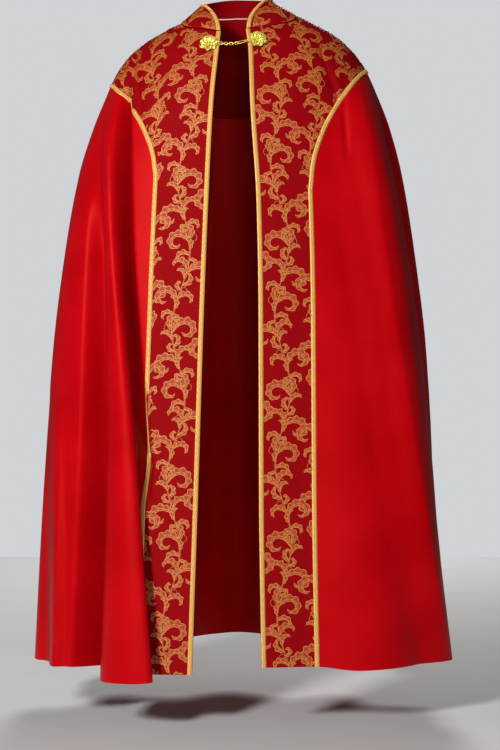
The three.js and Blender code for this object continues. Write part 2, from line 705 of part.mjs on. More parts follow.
function rosette(side) {
  const bail = link(BAIL_RADIUS + BAIL_WIRE, BAIL_RADIUS + BAIL_WIRE, BAIL_WIRE);
  bail.rotateX(Math.PI / 2);
  bail.translate(BAIL_REACH, 0, BAIL_HEIGHT);
  const { seat, towards, normal } = rosettePlace(side);
  const frame = new THREE.Matrix4().makeBasis(towards, normal.clone().cross(towards), normal);
  return joined(rosetteShape(), bail).applyMatrix4(frame.setPosition(seat));
}

const bailMiddle = (side) => {
  const { seat, towards, normal } = rosettePlace(side);
  return seat.clone().addScaledVector(towards, BAIL_REACH).addScaledVector(normal, BAIL_HEIGHT);
};

const CHAIN_SAG = 4;
const RING_HALF = 4.6; // of the round ring at the chain's right end
const HOOK_HALF_WIDTH = 3.9;
const TWIST = Math.PI / 4; // the links are turned this far one way and the other by turns

/** The chain's links from the right bail to the left, each through the next, on one shallow curve. */
function chain() {
  const [from, to] = [bailMiddle(RIGHT), bailMiddle(LEFT)];
  const hang = (t) => from.clone().lerp(to, t).add(new THREE.Vector3(0, 0, -4 * CHAIN_SAG * t * (1 - t)));
  const span = from.distanceTo(to);
  const outwards = rosettePlace(RIGHT).normal.add(rosettePlace(LEFT).normal).normalize();
  const through = 2 * (2 * WIRE_RADIUS) + LINK_PLAY;
  const bailHole = BAIL_RADIUS - BAIL_WIRE;
  const pieces = [{ name: "chain_ring", half: RING_HALF, halfWidth: RING_HALF, roll: 0 }];
  for (let i = 1; i <= LINK_COUNT; i += 1) {
    const roll = i % 2 ? -TWIST : TWIST;
    pieces.push({ name: `chain_link_${i}`, half: LINK_HALF_LENGTH, halfWidth: LINK_HALF_WIDTH, roll });
  }
  let start = bailHole - 2 * WIRE_RADIUS - LINK_PLAY;
  for (const piece of pieces) {
    piece.start = start;
    start += 2 * piece.half - through;
  }
  const hookEnd = span - bailHole + 2 * WIRE_RADIUS + LINK_PLAY;
  const hookHalf = (hookEnd - start) / 2;
  pieces.push({ name: "chain_hook", half: hookHalf, halfWidth: HOOK_HALF_WIDTH, roll: -TWIST / 3, start });
  return pieces.map(({ name: pieceName, half, halfWidth, roll, start: begins }) => {
    const [first, last] = [hang(begins / span), hang((begins + 2 * half) / span)];
    const along = last.clone().sub(first).normalize();
    const out = outwards.clone().addScaledVector(along, -along.dot(outwards)).normalize();
    const frame = new THREE.Matrix4().makeBasis(along, out.clone().cross(along), out);
    const shape = link(half, halfWidth).applyMatrix4(new THREE.Matrix4().makeRotationX(roll));
    return { pieceName, shape: shape.applyMatrix4(frame.setPosition(first.add(last).divideScalar(2))) };
  });
}

const material = (color, roughness, metalness = 0) =>
  new THREE.MeshStandardMaterial({ color, roughness, metalness });
const SATIN = material(0xd20a14, 0.5);
const BROCADE = material(0x9c0a14, 0.6);
const GOLD_BRAID = material(0xd9b45a, 0.45, 0.3);
const GILT = material(0xd8c34e, 0.3, 1);

const cope = new THREE.Group();

function add(pieceName, geometry, finish) {
  geometry.deleteAttribute("normal");
  geometry.computeVertexNormals();
  const mesh = new THREE.Mesh(geometry, finish);
  mesh.name = pieceName;
  cope.add(mesh);
}

const panel = (grid) => wall(grid, -CLOTH_WALL / 2, CLOTH_WALL / 2);
const BRAID_FOOT = CLOTH_WALL / 2 + SEAM_GAP;
const braid = (grid) => wall(grid, BRAID_FOOT, BRAID_FOOT + BRAID_WALL);

add("body", panel(bodyGrid()), SATIN);
add("back_yoke", panel(backYokeGrid()), BROCADE);
add("collar", panel(collarGrid()), BROCADE);
add("back_yoke_braid", braid(backYokeBraidGrid()), GOLD_BRAID);
add("collar_braid", braid(collarBraidGrid()), GOLD_BRAID);
for (const side of [RIGHT, LEFT]) {
  add(`front_${name(side)}`, panel(frontGrid(side)), BROCADE);
  add(`edge_braid_${name(side)}`, braid(edgeBraidGrid(side)), GOLD_BRAID);
  add(`seam_braid_${name(side)}`, braid(seamBraidGrid(side)), GOLD_BRAID);
  add(`rosette_${name(side)}`, rosette(side), GILT);
}
for (const { pieceName, shape } of chain()) add(pieceName, shape, GILT);

export default cope;
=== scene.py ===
"""The looks of the cope: cloth shells, brocade figure, braid and clasp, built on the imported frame.

Tables and places are in millimetres and are turned into metres when a mesh is made. +Z is up, the front
faces -Y, and +X is the wearer's left. As in the CAD part, the cloth is one surface and a place on it is
(side, w, z): side is -1 for the wearer's right and 1 for the left, z is the height, and w runs round the
level ring at that height, from 0 at the front edge through 1 at the side to 2 at the centre back.
"""

import math
from typing import NamedTuple

import bmesh
import bpy
import numpy as np
from mathutils import Matrix, Vector


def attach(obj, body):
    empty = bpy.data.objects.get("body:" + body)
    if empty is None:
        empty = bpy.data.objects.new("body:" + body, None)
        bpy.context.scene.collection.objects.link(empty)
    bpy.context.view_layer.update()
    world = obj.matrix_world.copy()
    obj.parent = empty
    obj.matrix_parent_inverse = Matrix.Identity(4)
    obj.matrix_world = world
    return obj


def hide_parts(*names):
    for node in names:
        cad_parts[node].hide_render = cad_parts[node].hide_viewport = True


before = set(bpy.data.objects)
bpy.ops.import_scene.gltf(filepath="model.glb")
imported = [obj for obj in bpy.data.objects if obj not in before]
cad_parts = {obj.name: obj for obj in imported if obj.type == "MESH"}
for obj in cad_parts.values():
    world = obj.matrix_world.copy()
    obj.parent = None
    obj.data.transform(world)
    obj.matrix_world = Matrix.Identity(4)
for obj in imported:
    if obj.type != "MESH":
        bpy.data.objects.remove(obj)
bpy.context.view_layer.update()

METRE = 0.001  # one millimetre
RIGHT, LEFT = -1, 1
SIDES = (RIGHT, LEFT)
NAMES = {RIGHT: "right", LEFT: "left"}

CLOTH_WALL = 1.8
BRAID_FOOT = 1.4  # from the cloth's middle surface to the braid's underside
SEAM_GAP = 0.3
BAND_WIDTH = 114
BRAID_WIDTH = 10


# ---------------------------------------------------------------- the cloth's surface


def table(names, *rows):
    """A table as {column name: array}, its rows in rising order of the first column."""
    rows = sorted(rows)
    return {name: np.array([row[i] for row in rows], float) for i, name in enumerate(names.split())}


RINGS = table(
    "z right left front back bow",
    (60, 74, 82, 40, 66, 1.1),
    (40, 86, 108, 54, 82, 1.12),
    (20, 104, 150, 68, 92, 1.15),
    (0, 144, 190, 80, 101, 1.18),
    (-30, 196, 234, 96, 113, 1.15),
    (-66, 236, 266, 112, 126, 1.1),
    (-100, 260, 286, 125, 137, 1.04),
    (-160, 286, 312, 143, 153, 0.97),
    (-215, 308, 332, 154, 165, 0.93),
    (-315, 339, 358, 167, 184, 0.9),
    (-480, 369, 385, 179, 210, 0.87),
    (-700, 396, 412, 196, 243, 0.88),
    (-1000, 416, 430, 218, 284, 0.88),
    (-1400, 437, 436, 248, 322, 0.89),
)
FRONT_EDGES = table(
    "z right left",
    (-20, 31, 21),
    (-60, 35, 26),
    (-180, 46, 30),
    (-390, 56, 43),
    (-600, 64, 47),
    (-1000, 76, 48),
    (-1400, 89, 54),
)
NECK_LINE = table("w right left", (0, -22, -16), (0.5, -6, 4), (1, 20, 33), (1.5, 34, 38), (2, 40, 40))
YOKE_BACK_LINE = table(
    "w right left", (1, -122, -92), (1.25, -138, -118), (1.6, -164, -156), (2, -172, -172)
)
HEM_LINE = table(
    "w right left",
    (0, -1358, -1343),
    (0.22, -1359, -1343),
    (0.4, -1372, -1352),
    (0.62, -1356, -1350),
    (1, -1357, -1349),
    (2, -1360, -1360),
)
SEAM_TURN = {RIGHT: -335, LEFT: -366}
SEAM_SWEEP = table(
    "step across up",
    (0, 0, 0),
    (0.145, 0.035, 0.21),
    (0.33, 0.14, 0.46),
    (0.51, 0.31, 0.68),
    (0.72, 0.56, 0.88),
    (0.89, 0.82, 0.975),
    (1, 1, 1),
)


class Fold(NamedTuple):
    """A ridge or trough between two heights. A pair holds its values at the upper and the lower one."""

    upper: float
    lower: float
    at: tuple  # the crest's distance from the front edge or the centre back
    half: tuple  # half width
    rise: tuple
    lean: float = 0  # carries the crest towards the front edge
    swell: float = 0  # pushes both flanks apart
    bend: float = 0  # bows the fold's line


EDGE_FOLDS = {
    RIGHT: [
        Fold(-150, -1400, (240, 160), (26, 54), (9, 62), lean=62, swell=46, bend=-25),
        Fold(-130, -930, (200, 112), (18, 18), (-24, -34), bend=8),
        Fold(-330, -1400, (248, 234), (30, 46), (-14, -84), bend=-10),
        Fold(-760, -1400, (400, 366), (36, 44), (-2, -16)),
    ],
    LEFT: [
        Fold(-380, -1400, (220, 262), (150, 190), (0, 34)),
        Fold(-110, -1400, (240, 424), (60, 90), (12, 24)),
        Fold(-110, -1300, (302, 520), (26, 60), (-12, -12)),
    ],
}
CENTRE_BACK_FOLD = Fold(-230, -1400, (0, 0), (50, 76), (0, 34))
BACK_FOLDS = {
    RIGHT: [
        Fold(-330, -1400, (330, 486), (50, 70), (0, 26), swell=6),
        Fold(-260, -1400, (236, 372), (46, 66), (0, -34)),
        Fold(-250, -1400, (150, 250), (46, 72), (0, 38), swell=8),
        Fold(-240, -1400, (78, 122), (40, 66), (0, -36)),
        CENTRE_BACK_FOLD,
    ],
    LEFT: [
        Fold(-420, -1400, (340, 450), (50, 66), (0, 24), swell=6),
        Fold(-280, -1400, (250, 346), (48, 64), (0, -30)),
        Fold(-230, -1400, (172, 236), (44, 68), (0, 40), swell=8),
        Fold(-250, -1400, (84, 118), (40, 64), (0, -38)),
        CENTRE_BACK_FOLD,
    ],
}
FOLD_FADE = 0.12  # the share of a fold's length over which it dies away at an open end
ROLL_GROWTH = 2  # the higher, the nearer the hem a fold starts to roll over
HEM_REACH = -1380  # a fold whose lower end is past this height runs out through the hem


def mix(a, b, t):
    return a + (b - a) * t


def smooth(t):
    t = np.clip(t, 0, 1)
    return t * t * (3 - 2 * t)


def unit(vectors):
    return vectors / np.maximum(np.linalg.norm(vectors, axis=-1, keepdims=True), 1e-12)


def read(rows, keys, column):
    """Smooth values of a column at keys of the first column, never past the neighbouring values."""
    x, y = next(iter(rows.values())), rows[column]
    slopes = np.diff(y) / np.diff(x)
    before, after = slopes[:-1], slopes[1:]
    same_way = before * after > 0
    total = np.where(same_way, before + after, 1)
    tangents = np.concatenate([slopes[:1], np.where(same_way, 2 * before * after / total, 0), slopes[-1:]])
    keys = np.clip(keys, x[0], x[-1])
    i = np.clip(np.searchsorted(x, keys, side="right") - 1, 0, len(x) - 2)
    span = x[i + 1] - x[i]
    t = (keys - x[i]) / span
    return (
        (2 * t**3 - 3 * t**2 + 1) * y[i]
        + (t**3 - 2 * t**2 + t) * span * tangents[i]
        + (3 * t**2 - 2 * t**3) * y[i + 1]
        + (t**3 - t**2) * span * tangents[i + 1]
    )


LATTICE_STEP = 2.0
LATTICE_HEIGHTS = np.arange(-1420.0, 90.0, LATTICE_STEP)
LATTICE_SHARES = 401  # columns of the lattice, evenly spaced along each ring
RING_STEPS = 80


class Lattice:
    """The level rings of one side, read off at even heights and even shares of their length."""

    def __init__(self, side):
        z = LATTICE_HEIGHTS
        half_width = read(RINGS, z, NAMES[side])[:, None]
        front, back, bow = (read(RINGS, z, name)[:, None] for name in ("front", "back", "bow"))
        start = np.arcsin(read(FRONT_EDGES, z, NAMES[side])[:, None] / half_width)
        t = np.linspace(0, 1, RING_STEPS + 1)
        rest = np.broadcast_to(mix(np.pi / 2, np.pi, t[1:]), (len(z), RING_STEPS))
        angle = np.concatenate([mix(start, np.pi / 2, t), rest], axis=1)
        cosine = np.cos(angle)
        depth = np.abs(cosine) ** bow
        x = side * half_width * np.sin(angle)
        y = np.where(cosine > 0, -front * depth, back * depth)
        steps = np.hypot(np.diff(x, axis=1), np.diff(y, axis=1))
        distances = np.concatenate([np.zeros((len(z), 1)), np.cumsum(steps, axis=1)], axis=1)
        self.side_at = distances[:, RING_STEPS]
        self.length = distances[:, -1]
        shares = np.linspace(0, 1, LATTICE_SHARES)
        read_off = [
            [np.interp(shares * d[-1], d, row) for d, row in zip(distances, values)] for values in (x, y)
        ]
        self.plan = np.stack(read_off, axis=-1)


LATTICES = {side: Lattice(side) for side in SIDES}


def side_at(side, z):
    """The millimetres along the ring from the front edge to the side."""
    return np.interp(z, LATTICE_HEIGHTS, LATTICES[side].side_at)


def ring_length(side, z):
    return np.interp(z, LATTICE_HEIGHTS, LATTICES[side].length)


def on_ring(side, distance, z):
    """The plan points at distances along the rings, and the rings' directions there."""
    row = np.clip((z - LATTICE_HEIGHTS[0]) / LATTICE_STEP, 0, len(LATTICE_HEIGHTS) - 1.001)
    low = row.astype(int)
    up = (row - low)[..., None]
    column = distance / ring_length(side, z) * (LATTICE_SHARES - 1)
    left = np.clip(np.floor(column), 0, LATTICE_SHARES - 2).astype(int)
    plan = LATTICES[side].plan
    first = mix(plan[low, left], plan[low + 1, left], up)
    second = mix(plan[low, left + 1], plan[low + 1, left + 1], up)
    along = second - first
    return first + along * (column - left)[..., None], unit(along)


def fold_shift(side, distance, z):
    """How far the folds carry the cloth outwards, and along the ring away from the front edge."""
    outwards, along = np.zeros_like(z), np.zeros_like(z)
    length = ring_length(side, z)
    for folds, origin in ((EDGE_FOLDS[side], "edge"), (BACK_FOLDS[side], "back")):
        for f in folds:
            t = (f.upper - z) / (f.upper - f.lower)
            dying = 1 if f.lower < HEM_REACH else smooth((1 + FOLD_FADE - t) / FOLD_FADE)
            strength = smooth(t / FOLD_FADE) * dying
            t = np.clip(t, 0, 1)
            place = mix(*f.at, t) + f.bend * np.sin(np.pi * t)
            centre = place if origin == "edge" else length - place
            x = np.clip((distance - centre) / mix(*f.half, t), -1, 1)
            hump = (1 + np.cos(np.pi * x)) / 2
            outwards += strength * mix(*f.rise, t) * hump
            along += strength * t**ROLL_GROWTH * hump * (f.swell * np.sin(np.pi * x) - f.lean)
    return outwards + crease_shift(side, distance, z), along


def crease(front, rear, *rows):
    """A line in the cloth. rows hold z, its distance from the front edge or centre back and its rise.

    The cloth falls away from it over front millimetres nearer the start of the ring and over rear
    millimetres beyond it: gently on the wider flank, at once on the narrower.
    """
    return {"path": table("z at rise", *rows), "front": front, "rear": rear}


CRISPNESS = 1.35  # 1 would make the steep flank of a crease a straight slope
EDGE_CREASES = {
    RIGHT: [
        # the groove before the long roll, its crest, the hollow behind it, the side, and one in the yoke
        crease(22, 9, (-120, 203, 0), (-180, 199, -14), (-274, 189, -18), (-486, 173, -18),
               (-698, 150, -15), (-900, 121, -6), (-940, 114, 0)),
        crease(13, 40, (-110, 222, 0), (-160, 218, 6), (-274, 206, 9), (-486, 190, 9), (-698, 169, 7),
               (-902, 156, 0)),
        crease(18, 60, (-400, 232, 0), (-534, 228, -8), (-698, 220, -12), (-902, 214, -16),
               (-1130, 220, -18), (-1400, 228, -18)),
        crease(16, 44, (-760, 330, 0), (-906, 321, 6), (-1138, 306, 14), (-1400, 298, 18)),
        crease(14, 14, (-30, 198, 0), (-74, 191, -4), (-190, 157, -4), (-240, 148, 0)),
    ],
    LEFT: [
        # the pleat line, the short crease under the seam and the trough in the yoke
        crease(90, 60, (-90, 238, 0), (-140, 241, 8), (-326, 250, 13), (-590, 275, 17), (-774, 301, 19),
               (-1138, 360, 21), (-1400, 424, 20)),
        crease(9, 11, (-110, 207, 0), (-170, 202, -5), (-230, 199, -4), (-320, 197, 0)),
        crease(15, 15, (-30, 156, 0), (-70, 160, -4), (-158, 184, -5), (-220, 192, 0)),
    ],
}
BACK_CREASES = {
    RIGHT: [
        crease(46, 16, (-300, 96, 0), (-520, 122, -9), (-900, 158, -15), (-1400, 190, -14)),
        crease(15, 52, (-420, 196, 0), (-640, 236, 7), (-1000, 286, 12), (-1400, 322, 11)),
        crease(20, 40, (-560, 330, 0), (-800, 380, 6), (-1400, 446, 10)),
        crease(12, 30, (-200, 60, 0), (-300, 66, 4), (-700, 84, 6), (-1000, 96, 0)),
    ],
    LEFT: [
        crease(18, 54, (-270, 108, 0), (-480, 132, 8), (-860, 170, 14), (-1400, 206, 12)),
        crease(50, 18, (-360, 220, 0), (-600, 262, -8), (-980, 300, -13), (-1400, 330, -13)),
        crease(14, 44, (-640, 356, 0), (-900, 402, 6), (-1400, 468, 9)),
        crease(13, 26, (-190, 48, 0), (-320, 52, -4), (-760, 66, -6), (-1100, 74, 0)),
    ],
}


def crease_shift(side, distance, z):
    """How far the creases carry the cloth outwards."""
    outwards = np.zeros_like(z)
    length = ring_length(side, z)
    for creases, from_edge in ((EDGE_CREASES[side], True), (BACK_CREASES[side], False)):
        for line in creases:
            at = read(line["path"], z, "at")
            off = distance - at if from_edge else length - distance - at
            x = np.clip(np.where(off < 0, -off / line["front"], off / line["rear"]), 0, 1)
            gentle, crisp = (1 - x) ** 2 * (1 + 2 * x), (1 - x) ** CRISPNESS
            wide = (off < 0) == (line["front"] > line["rear"])
            outwards += read(line["path"], z, "rise") * np.where(wide, gentle, crisp)
    return outwards


def distance_at(side, w, z):
    near = side_at(side, z)
    return np.where(w <= 1, w * near, mix(near, ring_length(side, z), w - 1))


def cloth_point(side, w, z):
    """Points of the cloth's middle surface."""
    w, z = np.broadcast_arrays(np.asarray(w, float), np.asarray(z, float))
    distance = distance_at(side, w, z)
    outwards, shift = fold_shift(side, distance, z)
    plan, along = on_ring(side, distance + shift, z)
    x = plan[..., 0] + side * along[..., 1] * outwards
    y = plan[..., 1] - side * along[..., 0] * outwards
    return np.stack([x, y, z], axis=-1)


SLOPE_STEP = 0.004  # of w, over which the cloth's slope is taken
SLOPE_RISE = 1.5


def cloth(side, w, z):
    """Points of the middle surface and their outward normals."""
    w, z = np.broadcast_arrays(np.asarray(w, float), np.asarray(z, float))
    across = cloth_point(side, w + SLOPE_STEP, z) - cloth_point(side, w - SLOPE_STEP, z)
    across = np.where((w > 2 - SLOPE_STEP)[..., None], [-side, 0, 0], across)
    up = cloth_point(side, w, z + SLOPE_RISE) - cloth_point(side, w, z - SLOPE_RISE)
    return cloth_point(side, w, z), unit(np.cross(across, up) * side)


# ---------------------------------------------------------------- seams and edges

STRAIGHT_ROWS = 11
SWEEP_ROWS = 9
SEAM_ROWS = STRAIGHT_ROWS + SWEEP_ROWS
SEAM_STEP = 0.1  # of a row, over which the seam's slope is taken
EDGE_ROWS_OF_SWEEP = 5  # the rows of the sweep that meet the front edge; the rest meet the neck line


def seam_at(side, row):
    """The seam between front panel and body at some rows: w, z and the share of the way up to the tip."""
    turn, tip = SEAM_TURN[side], YOKE_BACK_LINE[NAMES[side]][0]
    band = BAND_WIDTH / side_at(side, HEM_LINE[NAMES[side]][0])
    hem = read(HEM_LINE, band, NAMES[side])
    step = np.clip((row - STRAIGHT_ROWS) / SWEEP_ROWS, 0, 1)
    straight = row <= STRAIGHT_ROWS
    sweep = mix(turn, tip, read(SEAM_SWEEP, step, "up"))
    z = np.where(straight, mix(hem, turn, row / STRAIGHT_ROWS), sweep)
    at_band = BAND_WIDTH / side_at(side, z)
    w = np.where(straight, at_band, mix(at_band, 1, read(SEAM_SWEEP, step, "across")))
    return w, z, (z - hem) / (tip - hem)


def beside_seam(side, row, offset):
    """Places beside the seam: offset millimetres into the body, or below 0 into the front panel."""
    w, z, share = seam_at(side, row)
    w0, z0, _ = seam_at(side, np.maximum(row - SEAM_STEP, 0))
    w1, z1, _ = seam_at(side, np.minimum(row + SEAM_STEP, SEAM_ROWS))
    across = distance_at(side, w1, z1) - distance_at(side, w0, z0)
    up = z1 - z0
    length = np.hypot(across, up)
    lower = np.where(row == 0, 0, offset * across / length)
    beside_z = z - lower
    return w + offset * up / length / side_at(side, beside_z), beside_z, share


def edge_at(side, row, inset):
    """Where a seam row's line ends across the front panel: on the front edge, then on the neck line."""
    name = NAMES[side]
    neck, turn = NECK_LINE[name][0], SEAM_TURN[side]
    low_w = inset / side_at(side, HEM_LINE[name][0])
    step = row - STRAIGHT_ROWS
    z = np.where(
        step <= 0,
        mix(read(HEM_LINE, low_w, name), turn, np.minimum(row / STRAIGHT_ROWS, 1)),
        mix(turn, neck, np.clip(step / EDGE_ROWS_OF_SWEEP, 0, 1)),
    )
    first = inset / side_at(side, z)
    w = mix(first, 1, np.clip((step - EDGE_ROWS_OF_SWEEP) / (SWEEP_ROWS - EDGE_ROWS_OF_SWEEP), 0, 1))
    return w, np.where(step < EDGE_ROWS_OF_SWEEP, z, read(NECK_LINE, w, name))


# ---------------------------------------------------------------- meshes


def mesh_object(name, points, faces, materials, uv=None, face_materials=None, sharp=40):
    """A mesh from points in millimetres. uv has a pair for each point, in metres of cloth."""
    mesh = bpy.data.meshes.new(name)
    mesh.from_pydata((np.asarray(points) * METRE).tolist(), [], np.asarray(faces).tolist())
    for material in materials:
        mesh.materials.append(material)
    if face_materials is not None:
        mesh.polygons.foreach_set("material_index", np.asarray(face_materials, np.int32))
    mesh.polygons.foreach_set("use_smooth", np.ones(len(mesh.polygons), bool))
    if sharp:
        mesh.set_sharp_from_angle(angle=math.radians(sharp))
    if uv is not None:
        corners = np.empty(len(mesh.loops), np.int32)
        mesh.loops.foreach_get("vertex_index", corners)
        layer = mesh.uv_layers.new(name="cloth")
        layer.data.foreach_set("uv", np.asarray(uv, np.float32)[corners].ravel())
    mesh.update()
    made = bpy.data.objects.new(name, mesh)
    bpy.context.scene.collection.objects.link(made)
    return made


def cells(rows, columns):
    """The quads of a grid of points, as rows of four indices."""
    at = np.arange(rows * columns).reshape(rows, columns)
    return np.stack([at[:-1, :-1], at[:-1, 1:], at[1:, 1:], at[1:, :-1]], axis=-1).reshape(-1, 4)


def closed(top, under):
    """Points and quads of a plate between two grids of points."""
    rows, columns = top.shape[:2]
    lift = rows * columns
    at = np.arange(lift).reshape(rows, columns)
    rim = np.concatenate([at[0, :-1], at[:-1, -1], at[-1, :0:-1], at[:0:-1, 0]])
    after = np.roll(rim, -1)
    sides = np.stack([rim, rim + lift, after + lift, after], axis=-1)
    quads = cells(rows, columns)
    points = np.concatenate([top.reshape(-1, 3), under.reshape(-1, 3)])
    return points, np.concatenate([quads, quads[:, ::-1] + lift, sides])


def shell(name, points, normals, uv, material):
    """A closed thin shell of cloth round a grid of points on its middle surface."""
    half = normals * CLOTH_WALL / 2
    i, j = points.shape[0] // 2, points.shape[1] // 2
    facing = np.cross(points[i, j + 1] - points[i, j], points[i + 1, j] - points[i, j])
    both, faces = closed(points + half, points - half)
    if np.dot(facing, normals[i, j]) < 0:
        faces = faces[:, ::-1]
    return mesh_object(name, both, faces, [material], np.concatenate([uv.reshape(-1, 2)] * 2))


def both_sides(make):
    """Grids from the right over the centre back to the left, from what each side gives for itself."""
    right, left = make(RIGHT), make(LEFT)
    return [np.concatenate([a, b[:, -2::-1]], axis=1) for a, b in zip(right, left)]


def tube(path, across, out, radii, sides, closed_path=False):
    """Points and quads of a tube along a path, its section spanned by two vectors at each point."""
    turn = (np.arange(sides) / sides * 2 * np.pi)[None, :, None]
    ring = np.cos(turn) * across[:, None] * radii[0] + np.sin(turn) * out[:, None] * radii[1]
    points = (path[:, None] + ring).reshape(-1, 3)
    count = len(path)
    first = np.arange(count if closed_path else count - 1)[:, None] * sides
    second = (first + sides) % (count * sides)
    here = np.arange(sides)[None]
    there = (here + 1) % sides
    quads = np.stack([first + here, second + here, second + there, first + there], axis=-1).reshape(-1, 4)
    return points, quads


def together(*parts):
    """Several (points, quads) as one."""
    points, quads, start = [], [], 0
    for part_points, part_quads in parts:
        points.append(part_points)
        quads.append(part_quads + start)
        start += len(part_points)
    return np.concatenate(points), np.concatenate(quads)


# ---------------------------------------------------------------- materials


class Look:
    """A new material, with constants set straight on its shader."""

    def __init__(self, name, **sockets):
        self.material = bpy.data.materials.new(name)
        self.material.use_nodes = True
        self.nodes, self.links = self.material.node_tree.nodes, self.material.node_tree.links
        self.shader = self.nodes["Principled BSDF"]
        for socket, value in sockets.items():
            self.shader.inputs[socket.replace("_", " ")].default_value = value

    def cloth_places(self):
        """The cloth's own coordinates, in metres across and along it."""
        return self.nodes.new("ShaderNodeUVMap").outputs["UV"]

    def object_places(self):
        return self.nodes.new("ShaderNodeTexCoord").outputs["Object"]

    def colour(self, source, low, high, from_value=0.0, to_value=1.0):
        """Colours the surface from low to high as the source goes between two values."""
        made = self.nodes.new("ShaderNodeValToRGB")
        stops = made.color_ramp.elements
        stops[0].position, stops[0].color = from_value, (*low, 1)
        stops[1].position, stops[1].color = to_value, (*high, 1)
        self.links.new(source, made.inputs["Fac"])
        self.links.new(made.outputs["Color"], self.shader.inputs["Base Color"])

    def texture(self, kind, places, scale, stretch=None, **settings):
        """A texture node of a kind on some coordinates, which may be stretched first."""
        if stretch:
            mapping = self.nodes.new("ShaderNodeMapping")
            mapping.inputs["Scale"].default_value = stretch
            self.links.new(places, mapping.inputs["Vector"])
            places = mapping.outputs["Vector"]
        made = self.nodes.new("ShaderNodeTex" + kind)
        for key, value in settings.items():
            if hasattr(made, key):
                setattr(made, key, value)
            else:
                made.inputs[key.replace("_", " ")].default_value = value
        made.inputs["Scale"].default_value = scale
        self.links.new(places, made.inputs["Vector"])
        return made.outputs["Fac"]

    def relief(self, height, distance, strength, base=None):
        """Bumps the surface by a height, on top of another relief if there is one."""
        made = self.nodes.new("ShaderNodeBump")
        made.inputs["Distance"].default_value = distance
        made.inputs["Strength"].default_value = strength
        self.links.new(height, made.inputs["Height"])
        if base:
            self.links.new(base, made.inputs["Normal"])
        self.links.new(made.outputs["Normal"], self.shader.inputs["Normal"])
        return made.outputs["Normal"]


def satin_material():
    """A soft satin with fine warp lines, slubs and a slow drift of its red."""
    look = Look("satin", Roughness=0.42, Specular_IOR_Level=0.3, Specular_Tint=(1, 0.08, 0.06, 1))
    places = look.cloth_places()
    drift = look.texture("Noise", places, 7, Detail=3.0)
    look.colour(drift, (0.33, 0.0, 0.002), (0.40, 0.001, 0.004), 0.3, 0.7)
    warp = look.texture("Wave", places, 420, (1, 0.02, 1), wave_type="BANDS", Distortion=2.0)
    slub = look.texture("Noise", places, 160, (1, 0.12, 1), Detail=2.0)
    look.relief(warp, 0.0002, 0.12, look.relief(slub, 0.0004, 0.16))
    return look.material


def brocade_material():
    """The brocade's ribbed red ground."""
    look = Look(
        "brocade_ground", Roughness=0.6, Specular_IOR_Level=0.2, Specular_Tint=(1, 0.15, 0.1, 1)
    )
    places = look.cloth_places()
    fleck = look.texture("Noise", places, 900, Detail=1.0)
    look.colour(fleck, (0.15, 0.0, 0.002), (0.27, 0.001, 0.004), 0.3, 0.7)
    rib = look.texture("Wave", places, 260, (0.05, 1, 1), wave_type="BANDS", bands_direction="Y")
    look.relief(rib, 0.0004, 0.3)
    return look.material


def thread_material(name, dark, light, roughness, metallic):
    """Thread laid in fine slanting lines."""
    look = Look(name, Roughness=roughness, Metallic=metallic, Specular_IOR_Level=0.25)
    line = look.texture(
        "Wave", look.object_places(), 260, (1, 1, 0.8), wave_type="BANDS", bands_direction="DIAGONAL"
    )
    look.colour(line, dark, light, 0.2, 0.8)
    look.relief(line, 0.0003, 0.4)
    return look.material


def gilt_material():
    """Cast and worn gilt, a little darker in patches."""
    look = Look("gilt", Roughness=0.3, Metallic=0.6)
    wear = look.texture("Noise", look.object_places(), 180, Detail=4.0)
    look.colour(wear, (0.66, 0.50, 0.06), (0.95, 0.80, 0.18), 0.35, 0.65)
    look.relief(wear, 0.0003, 0.25)
    return look.material


SATIN = satin_material()
BROCADE = brocade_material()
FIGURE = thread_material("brocade_figure", (0.20, 0.010, 0.002), (0.37, 0.044, 0.008), 0.6, 0.0)
OUTLINE = thread_material("brocade_outline", (0.38, 0.11, 0.02), (0.58, 0.24, 0.05), 0.5, 0.1)
GOLD_BRAID = thread_material("gold_braid", (0.50, 0.24, 0.045), (0.80, 0.50, 0.15), 0.42, 0.2)
GILT = gilt_material()


# ---------------------------------------------------------------- pieces


def finish_piece(piece, slot, *nodes):
    """Rides a piece on the body and lets it stand for its CAD nodes. The slot argument is not used."""
    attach(piece, "root")
    if nodes:
        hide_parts(*nodes)
    return piece


def fine_rows(straight, sweep):
    """Seam rows with this many steps in the straight part and in the sweep."""
    low = np.linspace(0, STRAIGHT_ROWS, straight + 1)
    return np.concatenate([low, np.linspace(STRAIGHT_ROWS, SEAM_ROWS, sweep + 1)[1:]])


def flat(side, w, z):
    """Cloth coordinates in metres, for the weave."""
    return np.stack([side * distance_at(side, w, z), z], axis=-1) * METRE


# Steps of each panel's grid: up the straight seam, up its sweep, and across.
FRONT_GRID = (130, 90, 40)
BODY_GRID = (100, 54, 150)
BODY_CROWDING = 1.25  # above 1, the body's columns are closer near its seams
YOKE_GRID = (60, 80)
YOKE_START = SEAM_GAP / 2 / 300  # of w, which keeps the seam gap at the shoulder


def make_front(side):
    """A front panel, from the seam to the front edge and the neck line."""
    straight, sweep, across = FRONT_GRID
    rows = fine_rows(straight, sweep)
    seam_w, seam_z, _ = beside_seam(side, rows, -SEAM_GAP / 2)
    edge_w, edge_z = edge_at(side, rows, 0)
    t = np.linspace(0, 1, across + 1)[None]
    z = mix(seam_z[:, None], edge_z[:, None], t)
    w = np.minimum(mix(seam_w[:, None], edge_w[:, None], t), 1 - SEAM_GAP / 2 / side_at(side, z))
    name = f"front_{NAMES[side]}"
    made = shell(name + "_panel", *cloth(side, w, z), flat(side, w, z), BROCADE)
    return finish_piece(made, "brocade", name)


